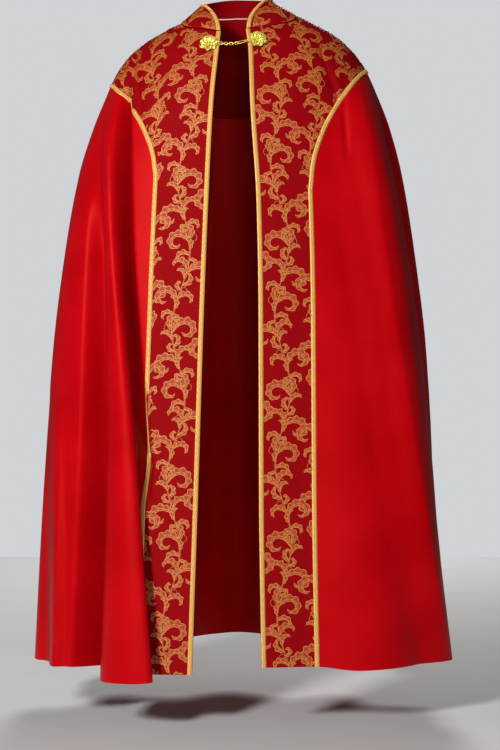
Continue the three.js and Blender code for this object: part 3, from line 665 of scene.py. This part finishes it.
def body_half(side):
    """Points, normals and cloth coordinates over one half of the body, from seam to centre back."""
    straight, sweep, across = BODY_GRID
    start_w, _, share = beside_seam(side, fine_rows(straight, sweep), SEAM_GAP / 2)
    column = (np.linspace(0, 1, across + 1) ** BODY_CROWDING)[None]
    w = mix(np.minimum(start_w, 1)[:, None], 2, column)
    top = read(YOKE_BACK_LINE, mix(1, 2, column), NAMES[side]) - SEAM_GAP / 2
    z = mix(read(HEM_LINE, w, NAMES[side]), top, np.clip(share, 0, 1)[:, None])
    return *cloth(side, w, z), flat(side, w, z)


def make_body():
    made = shell("body_cloth", *both_sides(body_half), SATIN)
    return finish_piece(made, "satin", "body")


def yoke_half(side):
    up, across = YOKE_GRID
    w = np.minimum(mix(1, 2, np.linspace(0, 1, across + 1))[None] + YOKE_START, 2)
    low = read(YOKE_BACK_LINE, w, NAMES[side]) + SEAM_GAP / 2
    z = mix(low, read(NECK_LINE, w, NAMES[side]), np.linspace(0, 1, up + 1)[:, None])
    w = np.broadcast_to(w, z.shape)
    return *cloth(side, w, z), flat(side, w, z)


def make_back_yoke():
    made = shell("back_yoke_panel", *both_sides(yoke_half), BROCADE)
    return finish_piece(made, "brocade", "back_yoke")


COLLAR_TOP = {"half_width": 74, "front": 62, "back": 64, "corner_angle": math.radians(70)}
COLLAR_TOP_HEIGHTS = {RIGHT: 51, LEFT: 64, "back": 78}
COLLAR_FLARE = 2  # above 1, the front edges rise steeply and roll outwards near the corners
FLARE_REACH = 0.4  # of the way round, where the flare has died away
COLLAR_CROWDING = 1.2
COLLAR_CLEARANCE = 2.3
COLLAR_RUN = 210  # of one side of the collar, at its middle height
COLLAR_GRID = (24, 70)


def collar_point(side, round_, up):
    """Points of the collar: round_ from 0 at the front edge to 1 at the centre back, up from 0 to 1."""
    round_, up = np.broadcast_arrays(np.asarray(round_, float), np.asarray(up, float))
    w = 2 * round_
    base = cloth_point(side, w, read(NECK_LINE, w, NAMES[side])) + [0, 0, COLLAR_CLEARANCE]
    turn = round_**COLLAR_CROWDING
    angle = mix(COLLAR_TOP["corner_angle"], np.pi, turn)
    depth = np.where(angle < np.pi / 2, COLLAR_TOP["front"], COLLAR_TOP["back"])
    top_x = side * COLLAR_TOP["half_width"] * np.sin(angle)
    top_y = -depth * np.cos(angle)
    top_z = mix(COLLAR_TOP_HEIGHTS[side], COLLAR_TOP_HEIGHTS["back"], smooth(turn))
    flare = mix(COLLAR_FLARE, 1, smooth(round_ / FLARE_REACH))
    x = mix(base[..., 0], top_x, up**flare)
    y = mix(base[..., 1], top_y, up ** (1 + flare / 4))
    return np.stack([x, y, mix(base[..., 2], top_z, up)], axis=-1)


def collar(side, round_, up):
    """Points of the collar's middle surface and their outward normals."""
    round_, up = np.broadcast_arrays(np.asarray(round_, float), np.asarray(up, float))
    before, after = np.maximum(round_ - SLOPE_STEP, 0), np.minimum(round_ + SLOPE_STEP, 1)
    along = collar_point(side, after, up) - collar_point(side, before, up)
    along = np.where((round_ > 1 - SLOPE_STEP)[..., None], [-side, 0, 0], along)
    low, high = np.maximum(up - SLOPE_STEP, 0), np.minimum(up + SLOPE_STEP, 1)
    rise = collar_point(side, round_, high) - collar_point(side, round_, low)
    return collar_point(side, round_, up), unit(np.cross(along, rise) * side)


def collar_half(side):
    rows, columns = COLLAR_GRID
    round_ = np.linspace(0, 1, columns + 1)[None]
    points, normals = collar(side, round_, np.linspace(0, 1, rows + 1)[:, None])
    run = side * np.broadcast_to(round_, points.shape[:2]) * COLLAR_RUN
    return points, normals, np.stack([run, points[..., 2]], axis=-1) * METRE


def make_collar():
    made = shell("collar_cloth", *both_sides(collar_half), BROCADE)
    return finish_piece(made, "brocade", "collar")


# ---------------------------------------------------------------- braid

BRAID_STEP = 0.84  # of its length between the points of a cord
BRAID_PITCH = 6.7
CORD_SWING = 2.5
CORD_RADII = (1.35, 0.95)
CORD_LIFT = 0.45
CORD_SIDES = 6
SCALLOP = 0.5  # depth of the bites in the ribbon's edges
RIBBON_HEIGHT = 0.9
RIBBON_COLUMNS = np.array([-1.0, -0.86, 0.0, 0.86, 1.0])
RIBBON_CROWN = np.array([0.1, 0.8, 1.0, 0.8, 0.1])
RAIL_STEPS = 400  # of a rail along each part of a seam
YOKE_BRAID_START = 1.003  # w of the back yoke braid's ends, at the shoulders
COLLAR_RAIL_STEPS = (60, 300)  # up a front edge, and round one side of the top


def along_rails(first, second, normals):
    """Points midway between two rails at even steps, with the unit vectors across and out, and the run."""
    middle = (first + second) / 2
    run = np.concatenate([[0], np.cumsum(np.linalg.norm(np.diff(middle, axis=0), axis=1))])
    at = np.linspace(0, run[-1], max(2, round(run[-1] / BRAID_STEP) + 1))

    def read_off(rail):
        return np.stack([np.interp(at, run, rail[:, k]) for k in range(3)], axis=-1)

    across = unit(read_off(second) - read_off(first))
    out = unit(read_off(normals))
    out = unit(out - across * np.sum(out * across, axis=1, keepdims=True))
    return read_off(middle), across, out, at


def make_braid(name, node, first, second, normals):
    """A braid between two rails: a scalloped ribbon under two cords that cross over and under."""
    path, across, out, run = along_rails(first, second, normals)
    phase = 2 * np.pi * run / BRAID_PITCH
    parts = []
    for way in (1, -1):
        swing = way * CORD_SWING * np.sin(phase)
        lift = BRAID_FOOT + RIBBON_HEIGHT + CORD_LIFT * (1 + way * np.cos(phase))
        middle = path + across * swing[:, None] + out * lift[:, None]
        parts.append(tube(middle, across, out, CORD_RADII, CORD_SIDES))
    half = (BRAID_WIDTH - SCALLOP * (1 + np.cos(2 * phase))) / 2
    columns = np.append(RIBBON_COLUMNS, RIBBON_COLUMNS[[-1, 0]])
    heights = BRAID_FOOT + RIBBON_HEIGHT * np.append(RIBBON_CROWN, [0, 0])
    section = path[:, None] + across[:, None] * (half[:, None] * columns)[..., None]
    section = section + out[:, None] * heights[None, :, None]
    sides = len(columns)
    here, there = np.arange(sides), (np.arange(sides) + 1) % sides
    start = np.arange(len(path) - 1)[:, None] * sides
    ribbon = np.stack([start + here, start + there, start + sides + there, start + sides + here], axis=-1)
    parts.append((section.reshape(-1, 3), ribbon.reshape(-1, 4)))
    made = mesh_object(name, *together(*parts), [GOLD_BRAID], sharp=0)
    return finish_piece(made, "gold_braid", node)


def make_edge_braid(side):
    rows = fine_rows(RAIL_STEPS, RAIL_STEPS)
    rows = rows[rows <= STRAIGHT_ROWS + EDGE_ROWS_OF_SWEEP]
    first, middle, second = (
        cloth(side, *edge_at(side, rows, inset)) for inset in (SEAM_GAP, BRAID_WIDTH / 2, BRAID_WIDTH)
    )
    name = f"edge_braid_{NAMES[side]}"
    return make_braid(name + "_gimp", name, first[0], second[0], middle[1])


def make_seam_braid(side):
    rows = fine_rows(RAIL_STEPS, RAIL_STEPS)
    offsets = (-BRAID_WIDTH / 2, 0, BRAID_WIDTH / 2)
    first, middle, second = (cloth(side, *beside_seam(side, rows, offset)[:2]) for offset in offsets)
    name = f"seam_braid_{NAMES[side]}"
    return make_braid(name + "_gimp", name, first[0], second[0], middle[1])


def make_back_yoke_braid():
    def half(side):
        w = mix(YOKE_BRAID_START, 2, np.linspace(0, 1, RAIL_STEPS))[None]
        z = read(YOKE_BACK_LINE, w, NAMES[side])
        low, middle, high = (cloth(side, w, z + rise) for rise in (-BRAID_WIDTH / 2, 0, BRAID_WIDTH / 2))
        return low[0], high[0], middle[1]

    rails = [rail[0] for rail in both_sides(half)]
    return make_braid("back_yoke_gimp", "back_yoke_braid", *rails)


def collar_top_rail(side, round_):
    """The share of the collar's height that is a braid's width below its top edge."""
    reach = 0.2
    below = collar_point(side, round_, 1 - reach)
    return 1 - BRAID_WIDTH * reach / np.linalg.norm(collar_point(side, round_, 1) - below, axis=-1)


def make_collar_braid():
    def half(side):
        reach = 0.05
        gap = np.linalg.norm(collar_point(side, reach, 0.5) - collar_point(side, 0, 0.5)) / reach
        rail = BRAID_WIDTH / gap
        under = collar_top_rail(side, rail)
        ups = np.linspace(0, under, COLLAR_RAIL_STEPS[0])
        rounds = np.linspace(rail, 1, COLLAR_RAIL_STEPS[1])
        heights = collar_top_rail(side, rounds)
        outer = [[0 * ups, ups], [[0], [1]], [rounds, 1 + 0 * rounds]]
        inner = [[rail + 0 * ups, ups], [[rail], [under]], [rounds, heights]]
        outer, inner = np.concatenate(outer, axis=1)[:, None], np.concatenate(inner, axis=1)[:, None]
        return collar(side, *outer)[0], collar(side, *inner)[0], collar(side, *(outer + inner) / 2)[1]

    rails = [rail[0] for rail in both_sides(half)]
    return make_braid("collar_gimp", "collar_braid", *rails)


# ---------------------------------------------------------------- brocade figure

REPEAT = 310  # height of the figure's repeat
COLUMN = 82  # width of one column; the next one is turned over and dropped by half a repeat
LEAF_SIZE = 0.86
LEAF_BREADTH = 0.84
STEPS_TO_LOBE = 7
STEM_SWING = 16
STEM_STEPS = 90
TENDRIL_STEPS = 30
# Widths of the lines.
EDGE_LINE, VEIN_LINE, RIB_LINE, STEM_LINE, TENDRIL_LINE = 1.25, 0.85, 1.3, 0.8, 0.5
FILL, LINE = 0, 1  # the kinds of what is drawn, and their places among the figure's materials
FIGURE_LIFT = CLOTH_WALL / 2 + 0.08  # of the lowest leaf over the cloth's middle surface
LEAF_LIFT = 0.012  # from one leaf to the next
FIGURE_SHIFT = {RIGHT: (9, 40), LEFT: (9, 220)}
TILE_MARGIN = 5  # past a panel's flat size, as far as the figure is still worked out

# The leaves that grow from the winding stem: where, as a share of the repeat, the side (-1 or 1), the
# heading off the stem in degrees, length, width, how far the tip curls in degrees, and the lobes.
LEAVES = (
    # the great scrolls
    (0.01, 1, 34, 104, 14, 300, 8),
    (0.21, -1, 30, 108, 14, 310, 8),
    (0.42, 1, 36, 98, 13, 290, 7),
    (0.61, -1, 32, 106, 14, 305, 8),
    (0.82, 1, 30, 96, 13, 300, 7),
    # the leaves that turn the other way from where a scroll starts
    (0.03, -1, 24, 56, 11, 170, 5),
    (0.23, 1, 28, 54, 11, -190, 5),
    (0.44, -1, 30, 52, 10, 190, 5),
    (0.63, 1, 24, 56, 11, 180, 5),
    (0.84, -1, 34, 54, 10, -190, 5),
    # the small leaves between
    (0.09, 1, 74, 30, 7, -200, 4),
    (0.12, -1, 66, 38, 8, -170, 4),
    (0.16, 1, 12, 40, 9, 120, 4),
    (0.30, -1, 86, 28, 7, 200, 3),
    (0.33, 1, 62, 40, 8, 180, 4),
    (0.37, -1, 10, 38, 9, -120, 4),
    (0.50, 1, 82, 28, 7, -200, 3),
    (0.53, -1, 58, 42, 9, -160, 4),
    (0.57, 1, 14, 36, 8, 130, 4),
    (0.70, -1, 84, 30, 7, 190, 3),
    (0.73, 1, 60, 44, 9, 170, 4),
    (0.77, -1, 12, 38, 9, -120, 4),
    (0.90, 1, 86, 28, 7, -190, 3),
    (0.93, -1, 60, 42, 9, 180, 4),
    (0.97, 1, 10, 34, 8, -120, 4),
)
# Thin curling tendrils: where, the side, heading, length and curl.
TENDRILS = (
    (0.07, -1, 88, 44, -340),
    (0.27, 1, 86, 46, 330),
    (0.47, -1, 88, 42, -340),
    (0.66, 1, 86, 44, 330),
    (0.87, -1, 84, 46, 340),
)


def spine(start, heading, length, curl, steps, tightening):
    """Points and unit directions of a curve that leaves start at a heading and curls ever tighter."""
    angle = heading + curl * np.linspace(0, 1, steps + 1) ** tightening
    way = np.stack([np.sin(angle), np.cos(angle)], axis=-1)
    moves = (way[1:] + way[:-1]) / 2 * length / steps
    return start + np.concatenate([[[0, 0]], np.cumsum(moves, axis=0)]), way


def strip(first, second):
    """Quads between two lines of as many points."""
    count = len(first)
    at = np.arange(count - 1)
    return np.concatenate([first, second]), np.stack([at, at + 1, at + 1 + count, at + count], axis=-1)


def ribbon(points, width):
    """A band of some width, one for all or one for each point, along a line."""
    way = np.gradient(points, axis=0)
    way = way / np.maximum(np.linalg.norm(way, axis=1, keepdims=True), 1e-9)
    across = np.stack([way[:, 1], -way[:, 0]], axis=-1) * np.reshape(width, (-1, 1)) / 2
    return strip(points - across, points + across)


def leaf(start, heading, length, width, curl, lobes):
    """An acanthus leaf: its two lobed halves, then its outline, midrib and veins."""
    steps = STEPS_TO_LOBE * lobes
    middle, way = spine(start, heading, length, curl, steps, 1.7)
    across = np.stack([way[:, 1], -way[:, 0]], axis=-1)
    t = np.linspace(0, 1, steps + 1)
    body = LEAF_BREADTH * width * np.sin(np.pi * np.minimum(t, 0.999) ** 0.7) ** 0.75
    lobe = 1.05 - 0.5 * np.abs(2 * ((t * lobes + 0.2) % 1) - 1) ** 1.25
    outer = -np.sign(curl)
    halves = ((outer, body * lobe), (-outer, 0.62 * body * (0.5 + 0.25 * lobe)))
    parts = []
    for side, reach in halves:
        edge = middle + across * (side * reach)[:, None] + way * (0.5 * reach)[:, None]
        parts.append((*strip(middle, edge), FILL))
        parts.append((*ribbon(edge, EDGE_LINE * np.minimum(1, 3 * (1 - t) + 0.4)), LINE))
        for k in range(lobes):
            tip = int((k + 0.3) / lobes * steps)
            root = max(0, tip - int(0.45 / lobes * steps))
            vein = middle[root] + (edge[tip] - middle[root]) * np.linspace(0, 0.82, 4)[:, None]
            parts.append((*ribbon(vein, VEIN_LINE), LINE))
    parts.append((*ribbon(middle, RIB_LINE * (1 - t) + 0.3), LINE))
    return parts


def stem_point(share):
    """The stem's middle at a share of the repeat."""
    return np.stack([STEM_SWING * np.sin(2 * np.pi * share), REPEAT * share], axis=-1)


def stem_heading(share, side, heading):
    """The heading that leans this many degrees off the stem to one side."""
    lean = math.atan(2 * math.pi * STEM_SWING / REPEAT * math.cos(2 * math.pi * share))
    return lean + side * math.radians(heading)


def column_figure():
    """One repeat, its stem near x = 0 and y from 0 to the repeat: a list of (points, quads, kind)."""
    shares = np.linspace(0, 1, STEM_STEPS + 1)
    stem = stem_point(shares)
    width = 3.4 + 1.2 * np.sin(6 * np.pi * shares)
    parts = [(*ribbon(stem, width), FILL), (*ribbon(stem, STEM_LINE), LINE)]
    for share, side, heading, length, width, curl, lobes in LEAVES:
        size = (length * LEAF_SIZE, width * LEAF_SIZE)
        turn = side * math.radians(curl)
        parts += leaf(stem_point(share), stem_heading(share, side, heading), *size, turn, lobes)
    for share, side, heading, length, curl in TENDRILS:
        turn = side * math.radians(curl)
        base = stem_heading(share, side, heading)
        line, _ = spine(stem_point(share), base, length, turn, TENDRIL_STEPS, 1.6)
        t = np.linspace(0, 1, len(line))
        knob = 3.5 * np.exp(-(((t - 0.97) / 0.05) ** 2))
        parts += [(*ribbon(line, 1.8 - 0.9 * t + knob), FILL), (*ribbon(line, TENDRIL_LINE), LINE)]
    return parts


class Figure:
    """One repeat of the figure in arrays: points, their heights over the cloth, quads and their kinds."""

    def __init__(self):
        parts = column_figure()
        counts = np.cumsum([0] + [len(points) for points, _, _ in parts])
        self.points = np.concatenate([points for points, _, _ in parts])
        self.quads = np.concatenate([quads + start for (_, quads, _), start in zip(parts, counts)])
        self.kinds = np.concatenate([np.full(len(quads), kind) for _, quads, kind in parts])
        order = np.cumsum([kind == FILL for _, _, kind in parts])
        layers = [2 * n + (kind == LINE) for n, (_, _, kind) in zip(order, parts)]
        self.heights = FIGURE_LIFT + LEAF_LIFT * np.repeat(layers, np.diff(counts))

    def laid(self, name, place, width, height, shift):
        """The figure over a panel. place turns (u, v) into points, normals and a mask of what is inside."""
        tiles = []
        for column in range(-1, math.ceil(width / COLUMN) + 1):
            for row in range(-2, math.ceil(height / REPEAT) + 1):
                turn, drop = (-1, REPEAT / 2) if column % 2 else (1, 0)
                offset = np.array([(column + 0.5) * COLUMN, row * REPEAT + drop]) + shift
                tiles.append(self.points * [turn, 1] + offset)
        count = len(tiles)
        starts = np.repeat(np.arange(count) * len(self.points), len(self.quads))[:, None]
        quads = np.tile(self.quads, (count, 1)) + starts
        kinds, heights = np.tile(self.kinds, count), np.tile(self.heights, count)
        flat_points = np.concatenate(tiles)
        far = [width + TILE_MARGIN, height + TILE_MARGIN]
        near = ((flat_points > -TILE_MARGIN) & (flat_points < far)).all(axis=1)[quads].any(axis=1)
        quads, kinds, (flat_points, heights) = only(near, quads, kinds, flat_points, heights)
        points, normals, inside = place(*flat_points.T)
        points = points + normals * heights[:, None]
        quads, kinds, (points, normals) = only(inside[quads].any(axis=1), quads, kinds, points, normals)
        corners = points[quads]
        facing = np.cross(corners[:, 2] - corners[:, 0], corners[:, 3] - corners[:, 1])
        turned = np.sum(facing * normals[quads[:, 0]], axis=1) < 0
        quads[turned] = quads[turned][:, ::-1]
        made = mesh_object(name, points, quads, [FIGURE, OUTLINE], face_materials=kinds, sharp=0)
        return finish_piece(made, "brocade")


def only(kept, quads, kinds, *columns):
    """The quads that are kept, their kinds, and the rows of some columns that they still use."""
    used, quads = np.unique(quads[kept], return_inverse=True)
    return quads.reshape(-1, 4), kinds[kept], [column[used] for column in columns]


GRAIN_WIDTH, GRAIN_TOP = 330, 66


class Grain:
    """The cloth's straight grain on one side.

    u is millimetres from the front edge or the centre back, and v millimetres up the cloth from low.
    """

    STEP, RISE = 5.0, 3.0

    def __init__(self, side, origin, low):
        self.side, self.origin = side, origin
        self.z = np.arange(low, GRAIN_TOP, self.RISE)
        self.u = np.arange(0, GRAIN_WIDTH + 2 * self.STEP, self.STEP)
        u, z = np.meshgrid(self.u, self.z, indexing="ij")
        points = cloth_point(side, self.turn(u, z), z)
        steps = np.linalg.norm(np.diff(points, axis=1), axis=-1)
        self.v = np.concatenate([np.zeros((len(self.u), 1)), np.cumsum(steps, axis=1)], axis=1)

    def turn(self, u, z):
        """w at u millimetres from the origin, at height z."""
        near, whole = side_at(self.side, z), ring_length(self.side, z)
        distance = u if self.origin == "edge" else whole - u
        return np.where(distance <= near, distance / near, 1 + (distance - near) / (whole - near))

    def height(self, u, v):
        """The height of a place at u, v millimetres up the cloth."""
        column = np.clip(u / self.STEP, 0, len(self.u) - 1.001)
        left = column.astype(int)
        z = np.zeros_like(u)
        for k in np.unique(left):
            here = left == k
            pair = [np.interp(v[here], self.v[k + n], self.z) for n in (0, 1)]
            z[here] = mix(pair[0], pair[1], (column - k)[here])
        return z


EDGE_COVER = 6  # of the braid's width, which the figure may pass under
SEAM_COVER = 3
CLEAR = 0.6  # between the figure and an edge that no braid covers


def lay_on_front(figure, side):
    name = NAMES[side]
    rows = fine_rows(200, 200)
    seam_w, seam_z, _ = seam_at(side, rows)
    grain = Grain(side, "edge", -1385)

    def place(u, v):
        z = grain.height(np.clip(u, 0, GRAIN_WIDTH), v)
        seam = np.interp(z, seam_z, seam_w * side_at(side, seam_z), right=1e9)
        limit = np.minimum(seam - SEAM_COVER, side_at(side, z) - CLEAR)
        inside = (u > EDGE_COVER) & (u < limit)
        w = grain.turn(np.clip(u, EDGE_COVER, limit), z)
        low, neck = read(HEM_LINE, w, name) + 0.4, read(NECK_LINE, w, name) - CLEAR
        inside &= (z > low) & (z < neck)
        return *cloth(side, w, np.clip(z, low, neck)), inside

    return figure.laid(f"front_{name}_figure", place, 320, 1560, FIGURE_SHIFT[side])


def lay_on_back_yoke(figure, side):
    name = NAMES[side]
    grain = Grain(side, "back", -185)

    def place(u, v):
        z = grain.height(np.clip(u, 0, GRAIN_WIDTH), v)
        room = ring_length(side, z) - side_at(side, z) - CLEAR
        inside = (u > 0) & (u < room)
        w = grain.turn(np.clip(u, 0, room), z)
        low, neck = read(YOKE_BACK_LINE, w, name) + SEAM_COVER, read(NECK_LINE, w, name) - CLEAR
        inside &= (z > low) & (z < neck)
        return *cloth(side, w, np.clip(z, low, neck)), inside

    return figure.laid(f"back_yoke_figure_{name}", place, 320, 330, (-COLUMN / 2, 60))


def lay_on_collar(figure, side):
    height, low, first = 66, 0.01, 7 / COLLAR_RUN

    def place(u, v):
        round_, up = 1 - u / COLLAR_RUN, v / height
        top = collar_top_rail(side, np.clip(round_, 0, 1)) + 0.04
        inside = (round_ > first) & (round_ < 1) & (up > low) & (up < top)
        return *collar(side, np.clip(round_, first, 1), np.clip(up, low, top)), inside

    return figure.laid(f"collar_figure_{NAMES[side]}", place, COLLAR_RUN, 70, (-COLUMN / 2, 20))


# ---------------------------------------------------------------- clasp

ROSETTE_PLACES = {RIGHT: (-56, -51), LEFT: (46, -42)}  # x and z
ROSETTE_SEAT = 3.4  # of its flat back over the cloth's middle surface, on the braid
CHAIN_DIP = 27  # each bail points this far below the other rosette's middle
PETALS = 8
PETAL_WALL = 0.9
PETAL_GRID = (15, 13)
# The tiers: where petals start and end, their half width, height at the root, crown, and turn in petals.
PETAL_TIERS = ((4, 20.4, 7.4, 0.9, 2.8, 0), (3, 15, 5.6, 2.6, 2.6, 0.5), (2, 9.6, 3.8, 4.2, 2.2, 0))
BEADS, BEAD_RADIUS, BEAD_REACH, BEAD_HEIGHT = 10, 0.95, 4.3, 6.2
BOSS_RADII, BOSS_HEIGHT = (2.9, 2.9, 2.6), 5.4
BALL_SEGMENTS, BALL_RINGS = 20, 12
BACK_RADII, BACK_HEIGHT, BACK_SEGMENTS = (15.5, 14.5), 1.4, 48
BAIL_REACH, BAIL_HEIGHT, BAIL_RADIUS, BAIL_WIRE = 21.6, 4.4, 3.8, 0.9
WIRE_SIDES = 10
LINK_STEPS = 40
LINK_WIRE = 0.75
LINK_FULLNESS = 0.75  # 1 makes a link an ellipse, and less makes its ends fuller
LINK_TWIST = math.radians(40)  # a curb link's two ends are turned against each other
LONG_LINK = 1.2  # a link longer than this many widths is twisted, and a rounder one is flat


def petal(start, end, half, height, crown, angle):
    """A cupped petal with a grooved middle and a notched tip, pointing at an angle round z."""
    rows, columns = PETAL_GRID
    u, v = np.meshgrid(np.linspace(0, 1, rows), np.linspace(-1, 1, columns), indexing="ij")
    notch = 0.09 * u**6 * (1 - np.abs(v)) + 0.13 * u**2 * v**2
    groove = 0.9 * np.exp(-((v / 0.2) ** 2)) * np.sin(np.pi * u)
    reach = start + (end - start) * u * (1 - notch)
    across = half * v * np.sin(np.pi * (0.14 + 0.74 * u)) ** 0.8
    z = height + crown * np.sin(np.pi * 0.8 * u) + 1.1 * u * v**2 - groove
    x = reach * math.cos(angle) - across * math.sin(angle)
    y = reach * math.sin(angle) + across * math.cos(angle)
    top = np.stack([x, y, z], axis=-1)
    return closed(top, top - [0, 0, PETAL_WALL])


def wire_eye(half_length, half_width, wire, twist=0.0):
    """A closed link of wire in the plane of x and y, its two ends turned against each other by a twist."""
    turn = np.arange(LINK_STEPS) / LINK_STEPS * 2 * np.pi
    x, y = (np.sign(f(turn)) * np.abs(f(turn)) ** LINK_FULLNESS for f in (np.cos, np.sin))
    lean = twist * x / 2
    y = half_width * y
    path = np.stack([half_length * x, y * np.cos(lean), y * np.sin(lean)], axis=-1)
    along = unit(np.roll(path, -1, axis=0) - np.roll(path, 1, axis=0))
    across = unit(np.cross(along, [0, 0, 1]))
    return tube(path, across, np.cross(across, along), (wire, wire), WIRE_SIDES, closed_path=True)


def rosette_frame(side):
    """A rosette's place on the cloth, and its way to the chain, across it and out of the cloth."""
    x, z = ROSETTE_PLACES[side]
    w = np.linspace(0, 0.6, 601)
    reached = cloth_point(side, w, np.full_like(w, z))[:, 0] * side
    point, normal = cloth(side, np.interp(x * side, reached, w), z)
    other = ROSETTE_PLACES[-side]
    towards = np.array([other[0] - x, 0, other[1] - z - CHAIN_DIP])
    towards = unit(towards - normal * np.dot(normal, towards))
    return point + normal * ROSETTE_SEAT, np.stack([towards, np.cross(normal, towards), normal])


def cast_piece(name, node, parts, place, axes, add=None):
    """A gilt piece from closed parts in axes of its own, to which add may add more solids."""
    points, quads = together(*parts)
    made = mesh_object(name, (points + place) @ axes, quads, [GILT], sharp=0)
    solid = bmesh.new()
    solid.from_mesh(made.data)
    if add:
        add(solid)
    for face in solid.faces:
        face.smooth = True
    bmesh.ops.recalc_face_normals(solid, faces=solid.faces)
    solid.to_mesh(made.data)
    solid.free()
    return finish_piece(made, "gilt", node)


def make_rosette(side):
    """A cast rosette: three tiers of petals round a ring of beads and a boss, with the chain's bail."""
    step = 2 * math.pi / PETALS
    parts = [petal(*tier, (k + turn) * step) for *tier, turn in PETAL_TIERS for k in range(PETALS)]
    bail, quads = wire_eye(BAIL_RADIUS, BAIL_RADIUS, BAIL_WIRE)
    parts.append((bail[:, [0, 2, 1]] + [BAIL_REACH, 0, BAIL_HEIGHT], quads))
    seat, axes = rosette_frame(side)
    to_world = np.vstack([np.column_stack([axes.T, seat]) * METRE, [0, 0, 0, 1]])

    def add_balls_and_back(solid):
        def placed(x, y, z, radii=(1, 1, 1)):
            return Matrix(to_world.tolist()) @ Matrix.Translation((x, y, z)) @ Matrix.Diagonal((*radii, 1))

        balls = [placed(0, 0, BOSS_HEIGHT, BOSS_RADII)]
        for angle in np.arange(BEADS) * 2 * np.pi / BEADS:
            x, y = BEAD_REACH * math.cos(angle), BEAD_REACH * math.sin(angle)
            balls.append(placed(x, y, BEAD_HEIGHT, (BEAD_RADIUS,) * 3))
        for ball in balls:
            bmesh.ops.create_uvsphere(
                solid, u_segments=BALL_SEGMENTS, v_segments=BALL_RINGS, radius=1, matrix=ball
            )
        bmesh.ops.create_cone(
            solid, cap_ends=True, segments=BACK_SEGMENTS, radius1=BACK_RADII[0], radius2=BACK_RADII[1],
            depth=BACK_HEIGHT, matrix=placed(0, 0, BACK_HEIGHT / 2),
        )

    name = f"rosette_{NAMES[side]}"
    made = cast_piece(name + "_cast", name, parts, axes @ seat, axes, add_balls_and_back)
    made.data.set_sharp_from_angle(angle=math.radians(50))
    return made


def make_link(node):
    """A wire link in the place of a CAD link, whose size and axes come from that link's points."""
    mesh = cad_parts[node].data
    points = np.empty(len(mesh.vertices) * 3)
    mesh.vertices.foreach_get("co", points)
    points = points.reshape(-1, 3) / METRE
    axes = np.linalg.svd(points - points.mean(axis=0), full_matrices=False)[2]
    spread = points @ axes.T
    low, high = spread.min(axis=0), spread.max(axis=0)
    halves = (high - low) / 2 - LINK_WIRE
    twist = LINK_TWIST if halves[0] > LONG_LINK * halves[1] else 0
    parts = [wire_eye(halves[0], halves[1], LINK_WIRE, twist)]
    return cast_piece(f"{node}_wire", node, parts, (low + high) / 2, axes)


# ---------------------------------------------------------------- stage

FLOOR = -1475
FLOOR_HALF = 3100
BACKDROP = (0.9, 0.92, 0.95)
BACKDROP_LIGHT = 0.07  # that it gives
BACKDROP_SEEN = 0.7  # that the camera sees
# The lights: place, target, size in metres and power in watts.
LIGHTS = {
    "key": ((-1.9, -4.0, 1.0), (0, 0, -0.4), 0.8, 262),
    "fill": ((0.3, -4.4, -0.6), (0, 0, -0.8), 1.2, 36),
    "back": ((0.4, 4.0, 1.4), (0, 0, -0.5), 1.6, 160),
}
CAMERA_PLACE = (30, -3700, -749)
CAMERA_LENS = 81.8


def make_floor():
    look = Look("floor", Roughness=0.9, Specular_IOR_Level=0.1)
    grain = look.texture("Noise", look.object_places(), 4, Detail=3.0)
    look.colour(grain, (0.50, 0.50, 0.49), (0.56, 0.56, 0.55))
    corners = [(x * FLOOR_HALF, y * FLOOR_HALF, FLOOR) for x, y in ((-1, -1), (1, -1), (1, 1), (-1, 1))]
    mesh_object("floor", corners, [[0, 1, 2, 3]], [look.material], sharp=0)


def make_backdrop():
    world = bpy.data.worlds.new("studio")
    bpy.context.scene.world = world
    world.use_nodes = True
    nodes, links = world.node_tree.nodes, world.node_tree.links
    nodes["Background"].inputs["Color"].default_value = (*BACKDROP, 1)
    seen = nodes.new("ShaderNodeMapRange")
    seen.inputs["To Min"].default_value = BACKDROP_LIGHT
    seen.inputs["To Max"].default_value = BACKDROP_SEEN
    links.new(nodes.new("ShaderNodeLightPath").outputs["Is Camera Ray"], seen.inputs["Value"])
    links.new(seen.outputs["Result"], nodes["Background"].inputs["Strength"])


def make_light(name, place, target, size, power):
    light = bpy.data.lights.new(name, "AREA")
    light.shape = "DISK"
    light.size = size
    light.energy = power
    made = bpy.data.objects.new(name, light)
    made.location = place
    made.rotation_euler = (Vector(target) - Vector(place)).to_track_quat("-Z", "Y").to_euler()
    bpy.context.scene.collection.objects.link(made)


def make_camera():
    """A camera at the height of the cope's middle, looking straight at its front."""
    data = bpy.data.cameras.new("camera")
    data.lens = CAMERA_LENS
    made = bpy.data.objects.new("camera", data)
    made.location = [value * METRE for value in CAMERA_PLACE]
    made.rotation_euler = (math.pi / 2, 0, 0)
    bpy.context.scene.collection.objects.link(made)
    bpy.context.scene.camera = made
    bpy.context.scene.view_settings.view_transform = "Standard"


# ---------------------------------------------------------------- the scene

fronts = {side: make_front(side) for side in SIDES}
body = make_body()
back_yoke = make_back_yoke()
collar_piece = make_collar()
edge_braids = {side: make_edge_braid(side) for side in SIDES}
seam_braids = {side: make_seam_braid(side) for side in SIDES}
yoke_braid = make_back_yoke_braid()
collar_braid = make_collar_braid()

figure = Figure()
figures = {side: lay_on_front(figure, side) for side in SIDES}
yoke_figures = [lay_on_back_yoke(figure, side) for side in SIDES]
collar_figures = [lay_on_collar(figure, side) for side in SIDES]

for side in SIDES:
    make_rosette(side)
for node in sorted(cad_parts):
    if node.startswith("chain"):
        make_link(node)

make_floor()
make_backdrop()
for name, settings in LIGHTS.items():
    make_light(name, *settings)
make_camera()
